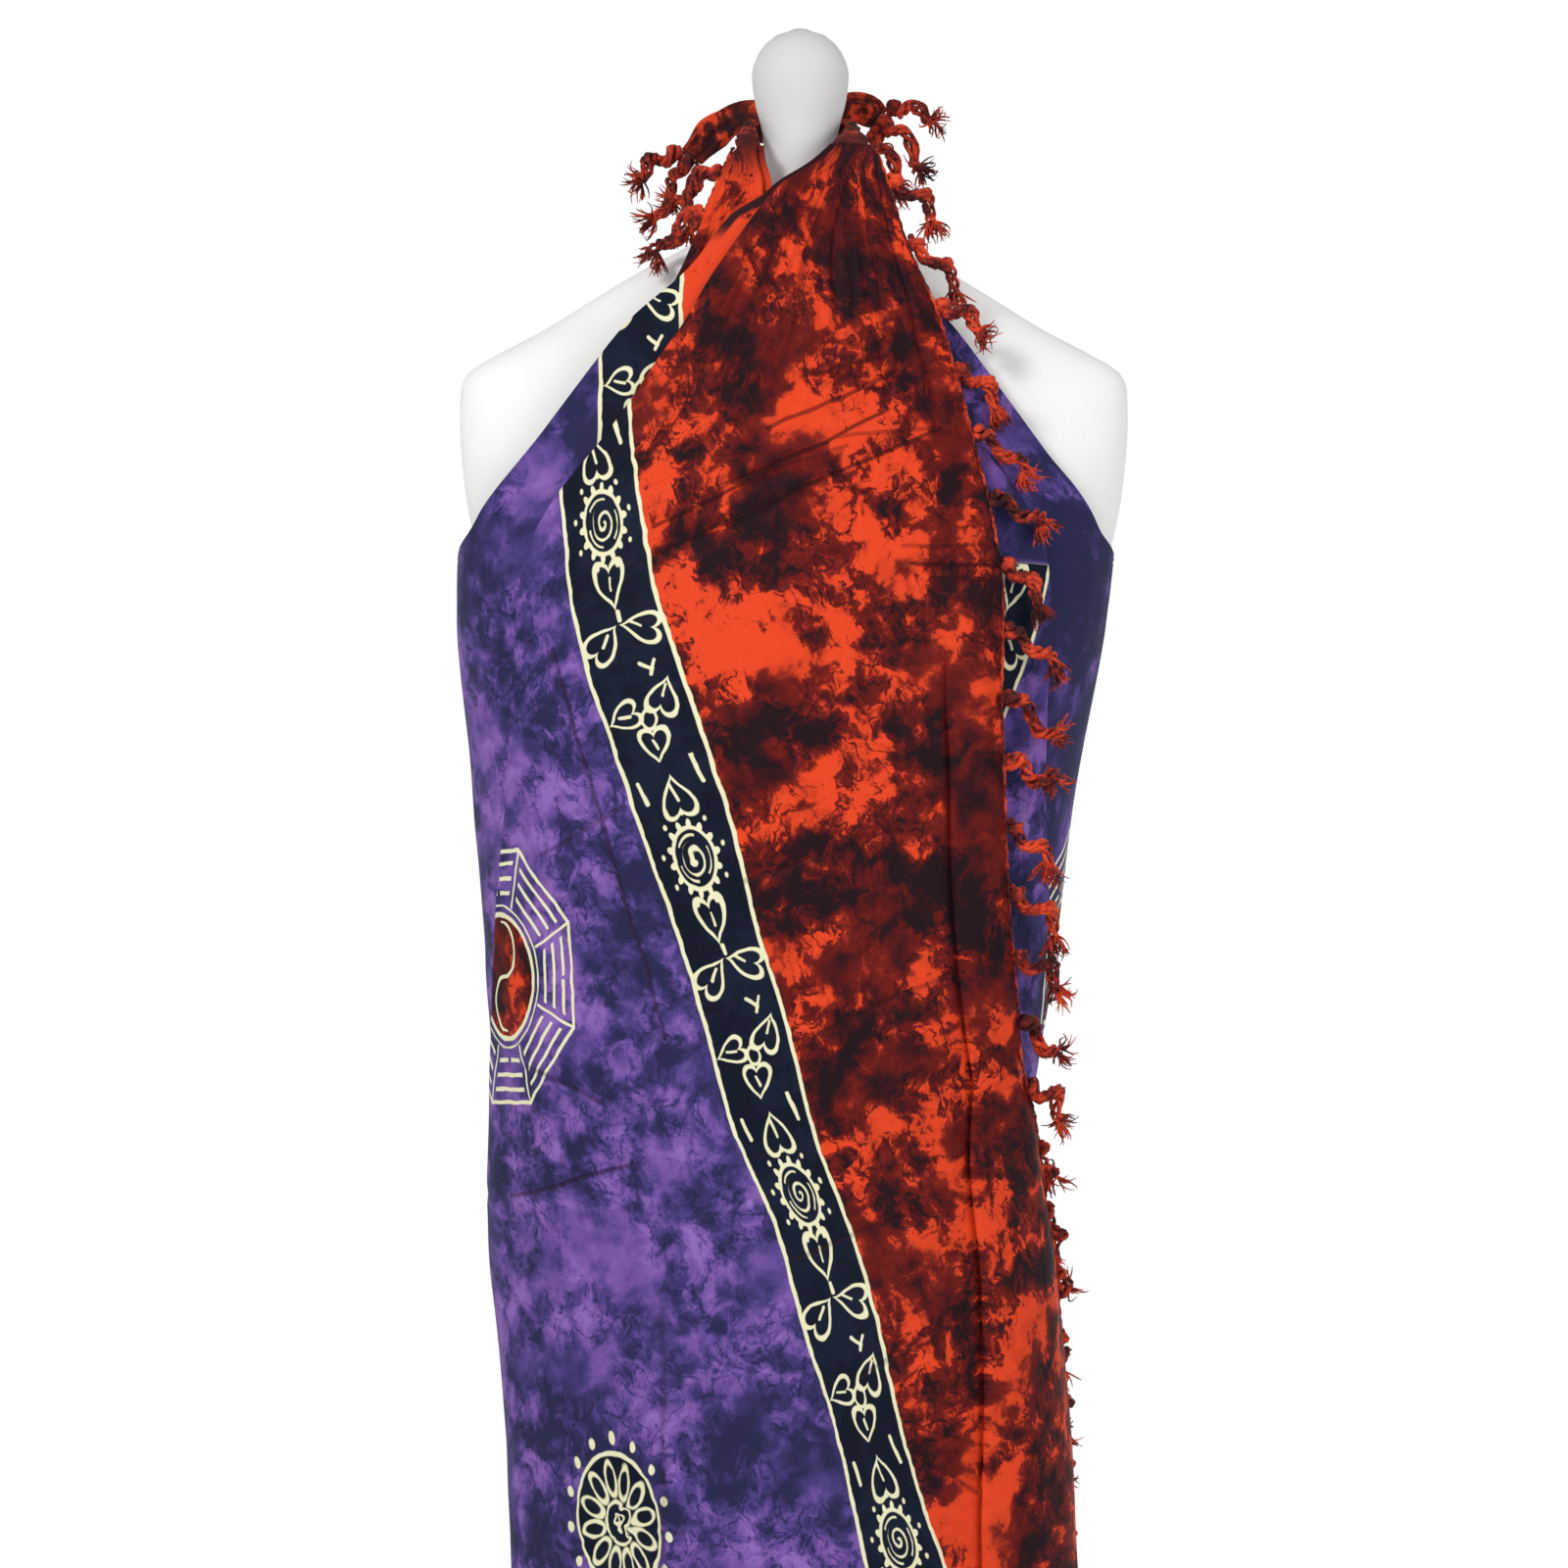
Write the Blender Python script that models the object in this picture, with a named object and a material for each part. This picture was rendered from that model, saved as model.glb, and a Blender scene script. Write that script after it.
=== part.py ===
"""A batik sarong worn as a halter wrap on a limbless dress form with a pole stand.

Metres, +Z up, the front of the wrap faces -Y, the origin is under the middle of the stand's base.
The cloth is one rectangle wound round the form: it leaves the nape knot, crosses the chest as the
front panel, turns under at a long fold, passes the left side, the back and the right side, turns
under again and crosses beneath the front panel as the under panel, back to the knot.
Angles round the form are in degrees, 0 at the front and positive towards -X.
"""

import math

import bmesh
import bpy
from mathutils import Vector

# The cloth
WALL = 0.001
SEAM_GAP = 0.0009
LAYER_RIGHT_WRAP = 0.0
LAYER_UNDER = 0.0048
LAYER_LEFT_WRAP = 0.0092
LAYER_FRONT = 0.0140
FOLD_RETURN = 0.0022
FOLD_LIP = 0.010
TUCK_DEGREES = 9.0
TOP_HEIGHT = 1.425
STRIP_TOP = 1.419
SIDE_TOP = 1.168
SIDE_SEAM_DEGREES = 100.0
HEM_BACK = 0.06
HEM_SIDE = 0.075
HEM_CORNER = 0.40
HEM_ROWS_START = 0.86
ROWS_CROWD = 1.2

# The stand
BASE_RADIUS = 0.150
BASE_THICK = 0.014
POLE_RADIUS = 0.0125
HUB_RADIUS = 0.024
HUB_TOP = 0.052
COLLAR_RADIUS = 0.034
COLLAR_THICK = 0.016
FORM_BOTTOM = 0.690
REST_GAP = 0.0003
FORM_SIDES = 32

# The fringe
FRINGE_GAP = 0.0010
TASSEL_SPACING = 0.037
TASSEL_LENGTH = 0.042
FRINGE_STRIP_WIDTH = 0.0026
LOCK_RADIUS = 0.0019
LOCK_SIDES = 4

# The surface that the cloth lies on: the section at each height
WRAP_COLUMNS = ("height", "half_width", "front", "back", "centre")
WRAP_SECTIONS = (
    (1.470, 0.028, 0.030, 0.030, 0.004),
    (1.445, 0.034, 0.034, 0.030, 0.004),
    (1.430, 0.046, 0.038, 0.030, 0.003),
    (1.400, 0.068, 0.045, 0.036, 0.002),
    (1.360, 0.100, 0.058, 0.048, 0.000),
    (1.320, 0.140, 0.072, 0.062, 0.000),
    (1.284, 0.166, 0.085, 0.076, 0.000),
    (1.240, 0.187, 0.100, 0.092, 0.000),
    (1.200, 0.196, 0.112, 0.101, 0.000),
    (1.158, 0.195, 0.121, 0.106, -0.002),
    (1.040, 0.180, 0.128, 0.110, -0.0065),
    (0.920, 0.168, 0.127, 0.113, -0.010),
    (0.810, 0.156, 0.125, 0.116, -0.017),
    (0.740, 0.157, 0.125, 0.118, -0.013),
    (0.620, 0.157, 0.126, 0.120, -0.004),
    (0.400, 0.156, 0.128, 0.122, 0.000),
    (0.030, 0.162, 0.132, 0.126, 0.000),
)

# Where the fringed edge, the long fold and the upper edge of a panel lie at each height
PATH_COLUMNS = ("height", "fringe", "fold", "edge")
PANEL_PATHS = (
    (1.443, -50.0, -42.0, -38.0),
    (1.430, -46.0, -29.5, -24.5),
    (1.413, -43.5, -11.0, -6.0),
    (1.400, -42.0, 5.0, 9.5),
    (1.3935, -41.0, 9.0, 13.5),
    (1.380, -39.0, 14.0, 25.0),
    (1.344, -35.5, 21.5, 32.5),
    (1.315, -33.5, 24.0, 41.0),
    (1.290, -32.0, 27.5, 44.5),
    (1.249, -31.8, 33.5, 51.0),
    (1.206, -33.2, 43.0, 65.0),
    (1.190, -34.2, 46.5, 72.0),
    (1.176, -35.2, 48.5, 88.0),
    (1.168, -35.8, 49.5, 100.0),
    (1.096, -38.4, 54.0, 100.0),
    (1.038, -41.9, 58.5, 100.0),
    (0.980, -45.0, 64.5, 100.0),
    (0.920, -50.0, 71.0, 100.0),
    (0.862, -59.0, 78.0, 100.0),
    (0.812, -75.0, 82.0, 100.0),
    (0.740, -88.0, 85.0, 100.0),
    (0.600, -96.0, 86.0, 100.0),
    (0.030, -108.0, 88.0, 100.0),
)

# How much further round the fold and upper edge of the under panel lie than the front panel's
UNDER_COLUMNS = ("height", "shift")
UNDER_SHIFT = (
    (1.443, -2.0),
    (1.430, -4.0),
    (1.413, -13.0),
    (1.3935, -25.0),
    (1.380, -12.0),
    (1.360, 0.0),
)

# The vertical pleat beside the fringed edge of the front panel
PLEAT_COLUMNS = ("height", "angle", "depth", "rise")
PLEAT_PATH = (
    (1.200, -31.0, 0.0, 0.0),
    (1.150, -33.0, 0.0, 0.0032),
    (1.100, -34.5, 0.3, 0.0054),
    (1.038, -36.8, 2.4, 0.0060),
    (0.980, -38.3, 3.2, 0.0062),
    (0.864, -42.5, 5.6, 0.0064),
    (0.748, -44.6, 9.0, 0.0066),
    (0.575, -40.5, 10.0, 0.0068),
    (0.030, -40.0, 10.0, 0.0070),
)
PLEAT_FULL_DEPTH = 2.4

# The section of that pleat, from the flap on top down to the panel: swing in depths, share of
# its run, and level in rises
PLEAT_SHAPE = (
    (0.00, 0.00, 1.00),
    (0.60, 0.15, 1.00),
    (0.94, 0.25, 0.97),
    (1.00, 0.30, 0.75),
    (0.94, 0.35, 0.53),
    (0.00, 0.50, 0.50),
    (-0.94, 0.65, 0.47),
    (-1.00, 0.70, 0.25),
    (-0.94, 0.75, 0.03),
    (-0.60, 0.85, 0.00),
)
PLEAT_HEM_SHARE = 0.31

# The largest soft folds: one ridge in each row, positive outward
FOLD_COLUMNS = ("top_angle", "hem_angle", "height", "half_width", "start", "full")
SOFT_FOLDS = (
    (112.0, 116.0, 0.007, 10.0, 1.160, 0.800),
    (132.0, 138.0, -0.008, 10.0, 1.150, 0.760),
    (152.0, 158.0, 0.009, 11.0, 1.150, 0.700),
    (174.0, 180.0, -0.007, 10.0, 1.140, 0.760),
    (196.0, 203.0, 0.009, 11.0, 1.150, 0.720),
    (219.0, 224.0, -0.008, 10.0, 1.150, 0.760),
    (241.0, 246.0, 0.007, 10.0, 1.160, 0.800),
    (12.0, -14.0, 0.004, 14.0, 1.000, 0.500),
    (40.0, 30.0, -0.005, 12.0, 0.950, 0.450),
)
GATHER_COUNT = 6
GATHER_HEIGHT = 0.0026
GATHER_SLOPE = 0.014
GATHER_FADE = (1.250, 1.400)

# The dress form, from its underside to the knob on its neck
FORM_COLUMNS = ("height", "half_width", "half_depth", "middle")
FORM_SECTIONS = (
    (0.690, 0.062, 0.048, 0.000),
    (0.694, 0.104, 0.080, 0.000),
    (0.712, 0.121, 0.095, 0.000),
    (0.760, 0.127, 0.101, 0.000),
    (0.810, 0.122, 0.098, -0.001),
    (0.880, 0.112, 0.091, -0.003),
    (0.950, 0.110, 0.090, -0.004),
    (1.020, 0.122, 0.098, -0.006),
    (1.085, 0.140, 0.105, -0.007),
    (1.125, 0.150, 0.103, -0.006),
    (1.143, 0.160, 0.095, -0.004),
    (1.156, 0.177, 0.086, -0.003),
    (1.168, 0.188, 0.077, -0.002),
    (1.190, 0.196, 0.071, 0.001),
    (1.225, 0.202, 0.067, 0.000),
    (1.262, 0.2045, 0.057, 0.001),
    (1.280, 0.204, 0.051, 0.002),
    (1.290, 0.199, 0.047, 0.003),
    (1.300, 0.183, 0.044, 0.003),
    (1.316, 0.153, 0.041, 0.004),
    (1.334, 0.124, 0.039, 0.004),
    (1.352, 0.094, 0.037, 0.004),
    (1.368, 0.064, 0.034, 0.004),
    (1.382, 0.043, 0.030, 0.003),
    (1.396, 0.027, 0.024, 0.002),
    (1.412, 0.0203, 0.0203, 0.001),
    (1.440, 0.0240, 0.0235, 0.000),
    (1.457, 0.0282, 0.0275, 0.000),
    (1.472, 0.0297, 0.0290, 0.000),
    (1.486, 0.0250, 0.0245, 0.000),
    (1.496, 0.0150, 0.0150, 0.000),
    (1.500, 0.0040, 0.0040, 0.000),
)
KNOB_SHIFT = 0.004

# The bands that tie behind the neck (half sections of the rope), the knot and its loose ends
BAND_GAP = 0.0006
BAND_ROPE = (0.0070, 0.0042)
BAND_CORNERS = (
    (0.0330, -0.0150, 1.4335),
    (0.0295, 0.0060, 1.4380),
    (0.0215, 0.0198, 1.4400),
    (0.0146, 0.0291, 1.4400),
)
KNOT_HEIGHT = 1.440
KNOT_BACK = 0.0356
KNOT_HALF = 0.0120
LOOSE_ENDS = {
    "loose_end_left": (
        (-0.0050, 0.0446, 1.4497),
        (-0.0250, 0.0510, 1.4550),
        (-0.0460, 0.0500, 1.4460),
        (-0.0630, 0.0400, 1.4270),
    ),
    "loose_end_right": (
        (0.0130, 0.0440, 1.4490),
        (0.0270, 0.0500, 1.4570),
        (0.0420, 0.0500, 1.4580),
        (0.0520, 0.0440, 1.4520),
    ),
}
LOOSE_HALF_WIDTHS = (0.0045, 0.0085, 0.0105, 0.0110, 0.0080)
LOOSE_HALF_THICK = 0.0028

COLOURS = {
    "orange_dye": (0.42, 0.05, 0.02),
    "purple_dye": (0.10, 0.05, 0.22),
    "fringe_yarn": (0.30, 0.03, 0.02),
    "jersey": (0.86, 0.86, 0.85),
    "stand_metal": (0.55, 0.55, 0.57),
}
FINISHES = {
    "orange_dye": (0.62, 0.0),
    "purple_dye": (0.62, 0.0),
    "fringe_yarn": (0.75, 0.0),
    "jersey": (0.80, 0.0),
    "stand_metal": (0.30, 1.0),
}


def material(name):
    """The plain finish of one kind of piece."""
    found = bpy.data.materials.get(name)
    if found:
        return found
    made = bpy.data.materials.new(name)
    made.use_nodes = True
    shader = made.node_tree.nodes["Principled BSDF"]
    roughness, metallic = FINISHES[name]
    shader.inputs["Base Color"].default_value = (*COLOURS[name], 1.0)
    shader.inputs["Roughness"].default_value = roughness
    shader.inputs["Metallic"].default_value = metallic
    return made


def place(name, bm, finish, smooth_degrees=50.0):
    """Links a bmesh as one named object with its finish."""
    mesh = bpy.data.meshes.new(name)
    bmesh.ops.recalc_face_normals(bm, faces=bm.faces)
    bm.to_mesh(mesh)
    bm.free()
    mesh.shade_smooth()
    mesh.set_sharp_from_angle(angle=math.radians(smooth_degrees))
    mesh.materials.append(material(finish))
    made = bpy.data.objects.new(name, mesh)
    bpy.context.scene.collection.objects.link(made)
    return made


def read(table, columns, column, height):
    """One column of a table at a height, on a smooth curve that never overshoots its rows."""
    k = columns.index(column)
    rows = sorted((row[0], row[k]) for row in table)
    if height <= rows[0][0]:
        return rows[0][1]
    if height >= rows[-1][0]:
        return rows[-1][1]
    i = max(n for n in range(len(rows) - 1) if rows[n][0] <= height)

    def slope(n):
        if n in (0, len(rows) - 1):
            return 0.0
        before = (rows[n][1] - rows[n - 1][1]) / (rows[n][0] - rows[n - 1][0])
        after = (rows[n + 1][1] - rows[n][1]) / (rows[n + 1][0] - rows[n][0])
        if before * after <= 0.0:
            return 0.0
        return 2.0 * before * after / (before + after)

    span = rows[i + 1][0] - rows[i][0]
    t = (height - rows[i][0]) / span
    start, end = rows[i][1], rows[i + 1][1]
    return (
        start * (1 + 2 * t) * (1 - t) ** 2
        + span * slope(i) * t * (1 - t) ** 2
        + end * t * t * (3 - 2 * t)
        + span * slope(i + 1) * t * t * (t - 1)
    )


def ease(low, high, at):
    """0 before low, 1 after high, smooth between them; low may be the larger."""
    t = min(1.0, max(0.0, (at - low) / (high - low)))
    return t * t * (3 - 2 * t)


def soft_fold_lift(angle, height):
    """How far the largest folds stand out of the wrap, the same for every layer."""
    lift = 0.0
    for top_angle, hem_angle, rise, half_width, start, full in SOFT_FOLDS:
        along = ease(1.17, HEM_BACK, height)
        middle = top_angle + (hem_angle - top_angle) * along
        away = abs((angle - middle + 180.0) % 360.0 - 180.0) / half_width
        if away < 1.0:
            lift += rise * ease(start, full, height) * (0.5 + 0.5 * math.cos(math.pi * away))
    return lift


def wrap_point(angle, height, lift):
    """A point of the wrap, lifted off the section by so many metres."""
    half_width = read(WRAP_SECTIONS, WRAP_COLUMNS, "half_width", height)
    turn = math.radians(angle)
    side = "front" if math.cos(turn) >= 0 else "back"
    depth = read(WRAP_SECTIONS, WRAP_COLUMNS, side, height)
    centre = read(WRAP_SECTIONS, WRAP_COLUMNS, "centre", height)
    lift += soft_fold_lift(angle, height)
    return Vector(
        (
            centre - (half_width + lift) * math.sin(turn),
            -(depth + lift) * math.cos(turn),
            height,
        )
    )


def path(column, height, side=1.0):
    """A panel's edge or fold at a height; side is -1 for the under panel and what it turns into."""
    angle = read(PANEL_PATHS, PATH_COLUMNS, column, height)
    if side < 0 and column != "fringe":
        angle += read(UNDER_SHIFT, UNDER_COLUMNS, "shift", height)
    return angle


def panel_hem(share):
    """The hem's height across a panel, from its fringed corner (0) to its fold (1)."""
    return HEM_SIDE + (HEM_CORNER - HEM_SIDE) * (1.0 - share) ** 1.35


def row_heights(top, start, upper_rows, lower_rows, crowd=ROWS_CROWD):
    """Heights down to where the rows begin to follow the hem, and shares below it.

    With crowd above 1 the rows stand closest at the neck, where the cloth narrows fastest.
    """
    upper = [top + (start - top) * (n / upper_rows) ** crowd for n in range(upper_rows)]
    lower = [n / lower_rows for n in range(lower_rows + 1)]
    return upper, lower


def wall_normal(rows, i, j):
    """The way out of the cloth at a grid point, from its neighbours in its row and column."""
    row = rows[i]
    along = row[min(j + 1, len(row) - 1)] - row[max(j - 1, 0)]
    down = rows[min(i + 1, len(rows) - 1)][j] - rows[max(i - 1, 0)][j]
    return along.cross(down).normalized()


def lay_cloth(name, rows, finish):
    """A closed wall of cloth through rows of points, half its thickness to each side of them."""
    bm = bmesh.new()
    sides = []
    for sign in (0.5, -0.5):
        grid = []
        for i, row in enumerate(rows):
            points = [
                point + wall_normal(rows, i, j) * (sign * WALL) for j, point in enumerate(row)
            ]
            grid.append([bm.verts.new(point) for point in points])
        sides.append(grid)
    outer, inner = sides
    last_row, last = len(rows) - 1, len(rows[0]) - 1
    for i in range(last_row):
        for j in range(last):
            for grid in sides:
                bm.faces.new((grid[i][j], grid[i][j + 1], grid[i + 1][j + 1], grid[i + 1][j]))
        for j in (0, last):
            bm.faces.new((outer[i][j], outer[i + 1][j], inner[i + 1][j], inner[i][j]))
    for j in range(last):
        for i in (0, last_row):
            bm.faces.new((outer[i][j], outer[i][j + 1], inner[i][j + 1], inner[i][j]))
    return place(name, bm, finish)


def panel_width(height, side=1.0):
    """The panel's width round the wrap, from its fringed edge to its fold."""
    half_width = read(WRAP_SECTIONS, WRAP_COLUMNS, "half_width", height)
    return math.radians(path("fold", height, side) - path("fringe", height)) * half_width


def gather_lift(share, height, side=1.0):
    """The gathers that run from the neck into the panel; none at its two edges."""
    strength = ease(GATHER_FADE[0], GATHER_FADE[1], height) * GATHER_HEIGHT
    strength = min(strength, GATHER_SLOPE * panel_width(height, side))
    inside = ease(0.02, 0.14, share) * (1.0 - ease(0.78, 0.90, share))
    return strength * inside * math.cos(2 * math.pi * GATHER_COUNT * share)


def pleat_columns(height, flap, main):
    """Angles and rises across the front panel, fringe to fold, with the Z-pleat in them."""
    fringe = path("fringe", height)
    fold = path("fold", height)
    crest = read(PLEAT_PATH, PLEAT_COLUMNS, "angle", height)
    depth = read(PLEAT_PATH, PLEAT_COLUMNS, "depth", height)
    rise = read(PLEAT_PATH, PLEAT_COLUMNS, "rise", height)
    crest = max(crest, fringe + 0.12 * (fold - fringe))
    run = min(2.0, 0.06 * (fold - fringe))
    depth = min(depth, 0.5 * (crest - fringe - run))
    start = crest - depth - 0.25 * run
    found = []
    for n in range(flap):
        share = n / flap
        found.append((fringe + (start - fringe) * share, rise * (0.3 + 0.7 * ease(0, 0.5, share))))
    flat = min(1.0, depth / PLEAT_FULL_DEPTH)
    for swing, turn, level in PLEAT_SHAPE:
        level = level * flat + (1.0 - ease(0, 1, turn)) * (1.0 - flat)
        found.append((start + run * turn + depth * swing, rise * level))
    for n in range(main + 1):
        share = n / main
        found.append((start + run + (fold - start - run) * share, 0.0))
    return found


def front_hem_share(n, flap, main):
    """How far across the panel's hem a column stands; the pleat's own columns stay together."""
    if n < flap:
        return PLEAT_HEM_SHARE * n / flap
    after = max(0, n - flap - len(PLEAT_SHAPE))
    pleat = 0.02 * min(1.0, (n - flap) / len(PLEAT_SHAPE))
    return PLEAT_HEM_SHARE + pleat + (0.98 - PLEAT_HEM_SHARE) * after / main


def front_panel_rows():
    """The front panel: fringed edge, pleat, chest and its fold with the turned-under lip."""
    upper, lower = row_heights(TOP_HEIGHT, HEM_ROWS_START, 21, 9)
    flap, main = 3, 18
    count = flap + len(PLEAT_SHAPE) + main + 1
    shares = [(t, None) for t in upper] + [(None, t) for t in lower]
    rows = []
    for height, below in shares:
        row = []
        for n in range(count):
            at = height
            if at is None:
                share = front_hem_share(n, flap, main)
                at = HEM_ROWS_START + (panel_hem(share) - HEM_ROWS_START) * below
            angle, rise = pleat_columns(at, flap, main)[n]
            fringe, fold = path("fringe", at), path("fold", at)
            lift = LAYER_FRONT + rise + gather_lift((angle - fringe) / (fold - fringe), at)
            row.append(wrap_point(angle, at, lift))
        at = height
        if at is None:
            at = HEM_ROWS_START + (panel_hem(1.0) - HEM_ROWS_START) * below
        row += fold_lip(path("fold", at), at, LAYER_FRONT, 1.0)
        rows.append(row)
    return rows


def fold_lip(fold, height, layer, side):
    """The turned-under lip along a long fold: two points of the bend and its end."""
    reach = read(WRAP_SECTIONS, WRAP_COLUMNS, "half_width", height) + layer
    per_metre = math.degrees(1.0 / reach)
    lip = min(FOLD_LIP, 0.14 * panel_width(height, side))
    bend = fold + 0.55 * FOLD_RETURN * per_metre
    under = fold - 0.25 * FOLD_RETURN * per_metre
    end = fold - lip * per_metre
    return [
        wrap_point(side * bend, height, layer - 0.5 * FOLD_RETURN),
        wrap_point(side * under, height, layer - FOLD_RETURN),
        wrap_point(side * end, height, layer - FOLD_RETURN),
    ]


def under_panel_rows():
    """The under panel, the front panel's mirror image one layer further in, without its pleat."""
    upper, lower = row_heights(TOP_HEIGHT, HEM_ROWS_START, 15, 6)
    count = 17
    rows = []
    for height, below in [(t, None) for t in upper] + [(None, t) for t in lower]:
        row = []
        for n in range(count):
            share = n / (count - 1)
            at = height
            if at is None:
                at = HEM_ROWS_START + (panel_hem(share) - HEM_ROWS_START) * below
            fringe, fold = path("fringe", at), path("fold", at, -1.0)
            lift = LAYER_UNDER + gather_lift(share, at, -1.0)
            row.append(wrap_point(-(fringe + (fold - fringe) * share), at, lift))
        at = height
        if at is None:
            at = HEM_ROWS_START + (panel_hem(1.0) - HEM_ROWS_START) * below
        row += fold_lip(path("fold", at, -1.0), at, LAYER_UNDER, -1.0)
        rows.append(row)
    return rows


def side_wrap_rows(side, layer):
    """The cloth beside a panel: the strip along the upper edge, then the side down to the hem."""
    upper, lower = row_heights(STRIP_TOP, HEM_ROWS_START, 21, 6, 1.0)
    count = 6
    rows = []
    for height, below in [(t, None) for t in upper] + [(None, t) for t in lower]:
        row = []
        for n in range(count):
            share = n / (count - 1)
            at = height
            if at is None:
                at = HEM_ROWS_START + (HEM_SIDE - HEM_ROWS_START) * below
            reach = read(WRAP_SECTIONS, WRAP_COLUMNS, "half_width", at)
            tuck = TUCK_DEGREES * min(1.0, 0.16 / reach)
            inner = path("fold", at, side) - tuck
            outer = path("edge", at, side) - seam_degrees(at)
            row.append(wrap_point(side * (inner + (outer - inner) * share), at, layer))
        rows.append(row)
    return rows


def seam_degrees(height):
    """Half the gap between two stretches of cloth, as an angle."""
    return 0.5 * math.degrees(SEAM_GAP / read(WRAP_SECTIONS, WRAP_COLUMNS, "half_width", height))


def back_rows():
    """The cloth round the back, from the left side seam to the right one."""
    columns, count = 26, 14
    rows = []
    for k in range(count + 1):
        below = k / count
        row = []
        for n in range(columns + 1):
            share = n / columns
            middle = math.sin(math.pi * share)
            top = SIDE_TOP + 0.004 * middle
            hem = HEM_SIDE + (HEM_BACK - HEM_SIDE) * middle
            at = top + (hem - top) * below
            start = SIDE_SEAM_DEGREES + seam_degrees(at)
            end = 360.0 - SIDE_SEAM_DEGREES - seam_degrees(at)
            layer = LAYER_LEFT_WRAP + (LAYER_RIGHT_WRAP - LAYER_LEFT_WRAP) * ease(0, 1, share)
            row.append(wrap_point(start + (end - start) * share, at, layer))
        rows.append(row)
    return rows


def loft(rings, closed_ends=True):
    """A closed solid through rings that have the same number of points."""
    bm = bmesh.new()
    loops = [[bm.verts.new(point) for point in ring] for ring in rings]
    for low, high in zip(loops, loops[1:]):
        for n in range(len(low)):
            m = (n + 1) % len(low)
            bm.faces.new((low[n], low[m], high[m], high[n]))
    if closed_ends:
        bm.faces.new(loops[0][::-1])
        bm.faces.new(loops[-1])
    return bm


def tube_rings(points, radii, sides, flat=1.0, turn=0.0):
    """Rings round a path; flat squeezes them across, and turn rotates them, in degrees."""
    rings = []
    for n, point in enumerate(points):
        before = points[max(0, n - 1)]
        after = points[min(len(points) - 1, n + 1)]
        along = (after - before).normalized()
        across = along.cross(Vector((0.0, 0.0, 1.0)))
        if across.length < 0.1:
            across = along.cross(Vector((1.0, 0.0, 0.0)))
        across.normalize()
        up = across.cross(along).normalized()
        ring = []
        for k in range(sides):
            angle = 2 * math.pi * k / sides + math.radians(turn)
            ring.append(
                point
                + across * (radii[n] * flat * math.cos(angle))
                + up * (radii[n] * math.sin(angle))
            )
        rings.append(ring)
    return rings


def smooth_path(corners, per_span):
    """Points on a Catmull-Rom curve through the corners."""
    ends = [2 * corners[0] - corners[1], *corners, 2 * corners[-1] - corners[-2]]
    found = []
    for a, b, c, d in zip(ends, ends[1:], ends[2:], ends[3:]):
        for k in range(per_span):
            t = k / per_span
            found.append(
                0.5
                * (
                    2 * b
                    + (c - a) * t
                    + (2 * a - 5 * b + 4 * c - d) * t * t
                    + (3 * b - 3 * c + d - a) * t**3
                )
            )
    return found + [corners[-1].copy()]


def dress_form():
    """The limbless form: hips, waist, chest, arm stubs, shoulders and a knobbed neck."""
    rings = []
    for height, half_width, half_depth, middle in FORM_SECTIONS:
        squareness = 2.0 + 0.35 * ease(1.19, 1.25, height) * ease(1.33, 1.30, height)
        shift = KNOB_SHIFT * ease(1.39, 1.44, height)
        ring = []
        for n in range(FORM_SIDES):
            turn = 2 * math.pi * n / FORM_SIDES
            across = math.copysign(abs(math.cos(turn)) ** (2 / squareness), math.cos(turn))
            deep = math.copysign(abs(math.sin(turn)) ** (2 / squareness), math.sin(turn))
            ring.append(
                Vector((shift + half_width * across, middle + half_depth * deep, height))
            )
        rings.append(ring)
    place("dress_form", loft(rings), "jersey", 80.0)


def disc(name, radius, bottom, top, edge, finish, hole=0.0):
    """A turned disc or ring with a rounded upper rim."""
    outline = [(hole, bottom), (radius, bottom), (radius, top - edge)]
    for n in range(1, 4):
        turn = math.radians(30 * n)
        outline.append((radius - edge + edge * math.cos(turn), top - edge + edge * math.sin(turn)))
    outline.append((hole, top))
    bm = bmesh.new()
    verts = [bm.verts.new((x, 0.0, z)) for x, z in outline]
    edges = [bm.edges.new((a, b)) for a, b in zip(verts, verts[1:])]
    if hole:
        edges.append(bm.edges.new((verts[-1], verts[0])))
    bmesh.ops.spin(
        bm,
        geom=verts + edges,
        axis=(0.0, 0.0, 1.0),
        cent=(0.0, 0.0, 0.0),
        steps=36,
        angle=2 * math.pi,
        use_merge=True,
    )
    bmesh.ops.remove_doubles(bm, verts=bm.verts, dist=1e-6)
    place(name, bm, finish)


def stand():
    """The weighted base, its hub, the pole and the collar under the form."""
    disc("stand_base", BASE_RADIUS, 0.0, BASE_THICK, 0.006, "stand_metal")
    hub_bottom = BASE_THICK + REST_GAP
    pole_hole = POLE_RADIUS + REST_GAP
    disc("stand_hub", HUB_RADIUS, hub_bottom, HUB_TOP, 0.004, "stand_metal", pole_hole)
    collar_top = FORM_BOTTOM - REST_GAP
    collar_bottom = collar_top - COLLAR_THICK
    disc(
        "stand_collar", COLLAR_RADIUS, collar_bottom, collar_top, 0.001, "stand_metal", pole_hole
    )
    disc("stand_pole", POLE_RADIUS, hub_bottom, collar_top, 0.001, "stand_metal")


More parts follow.
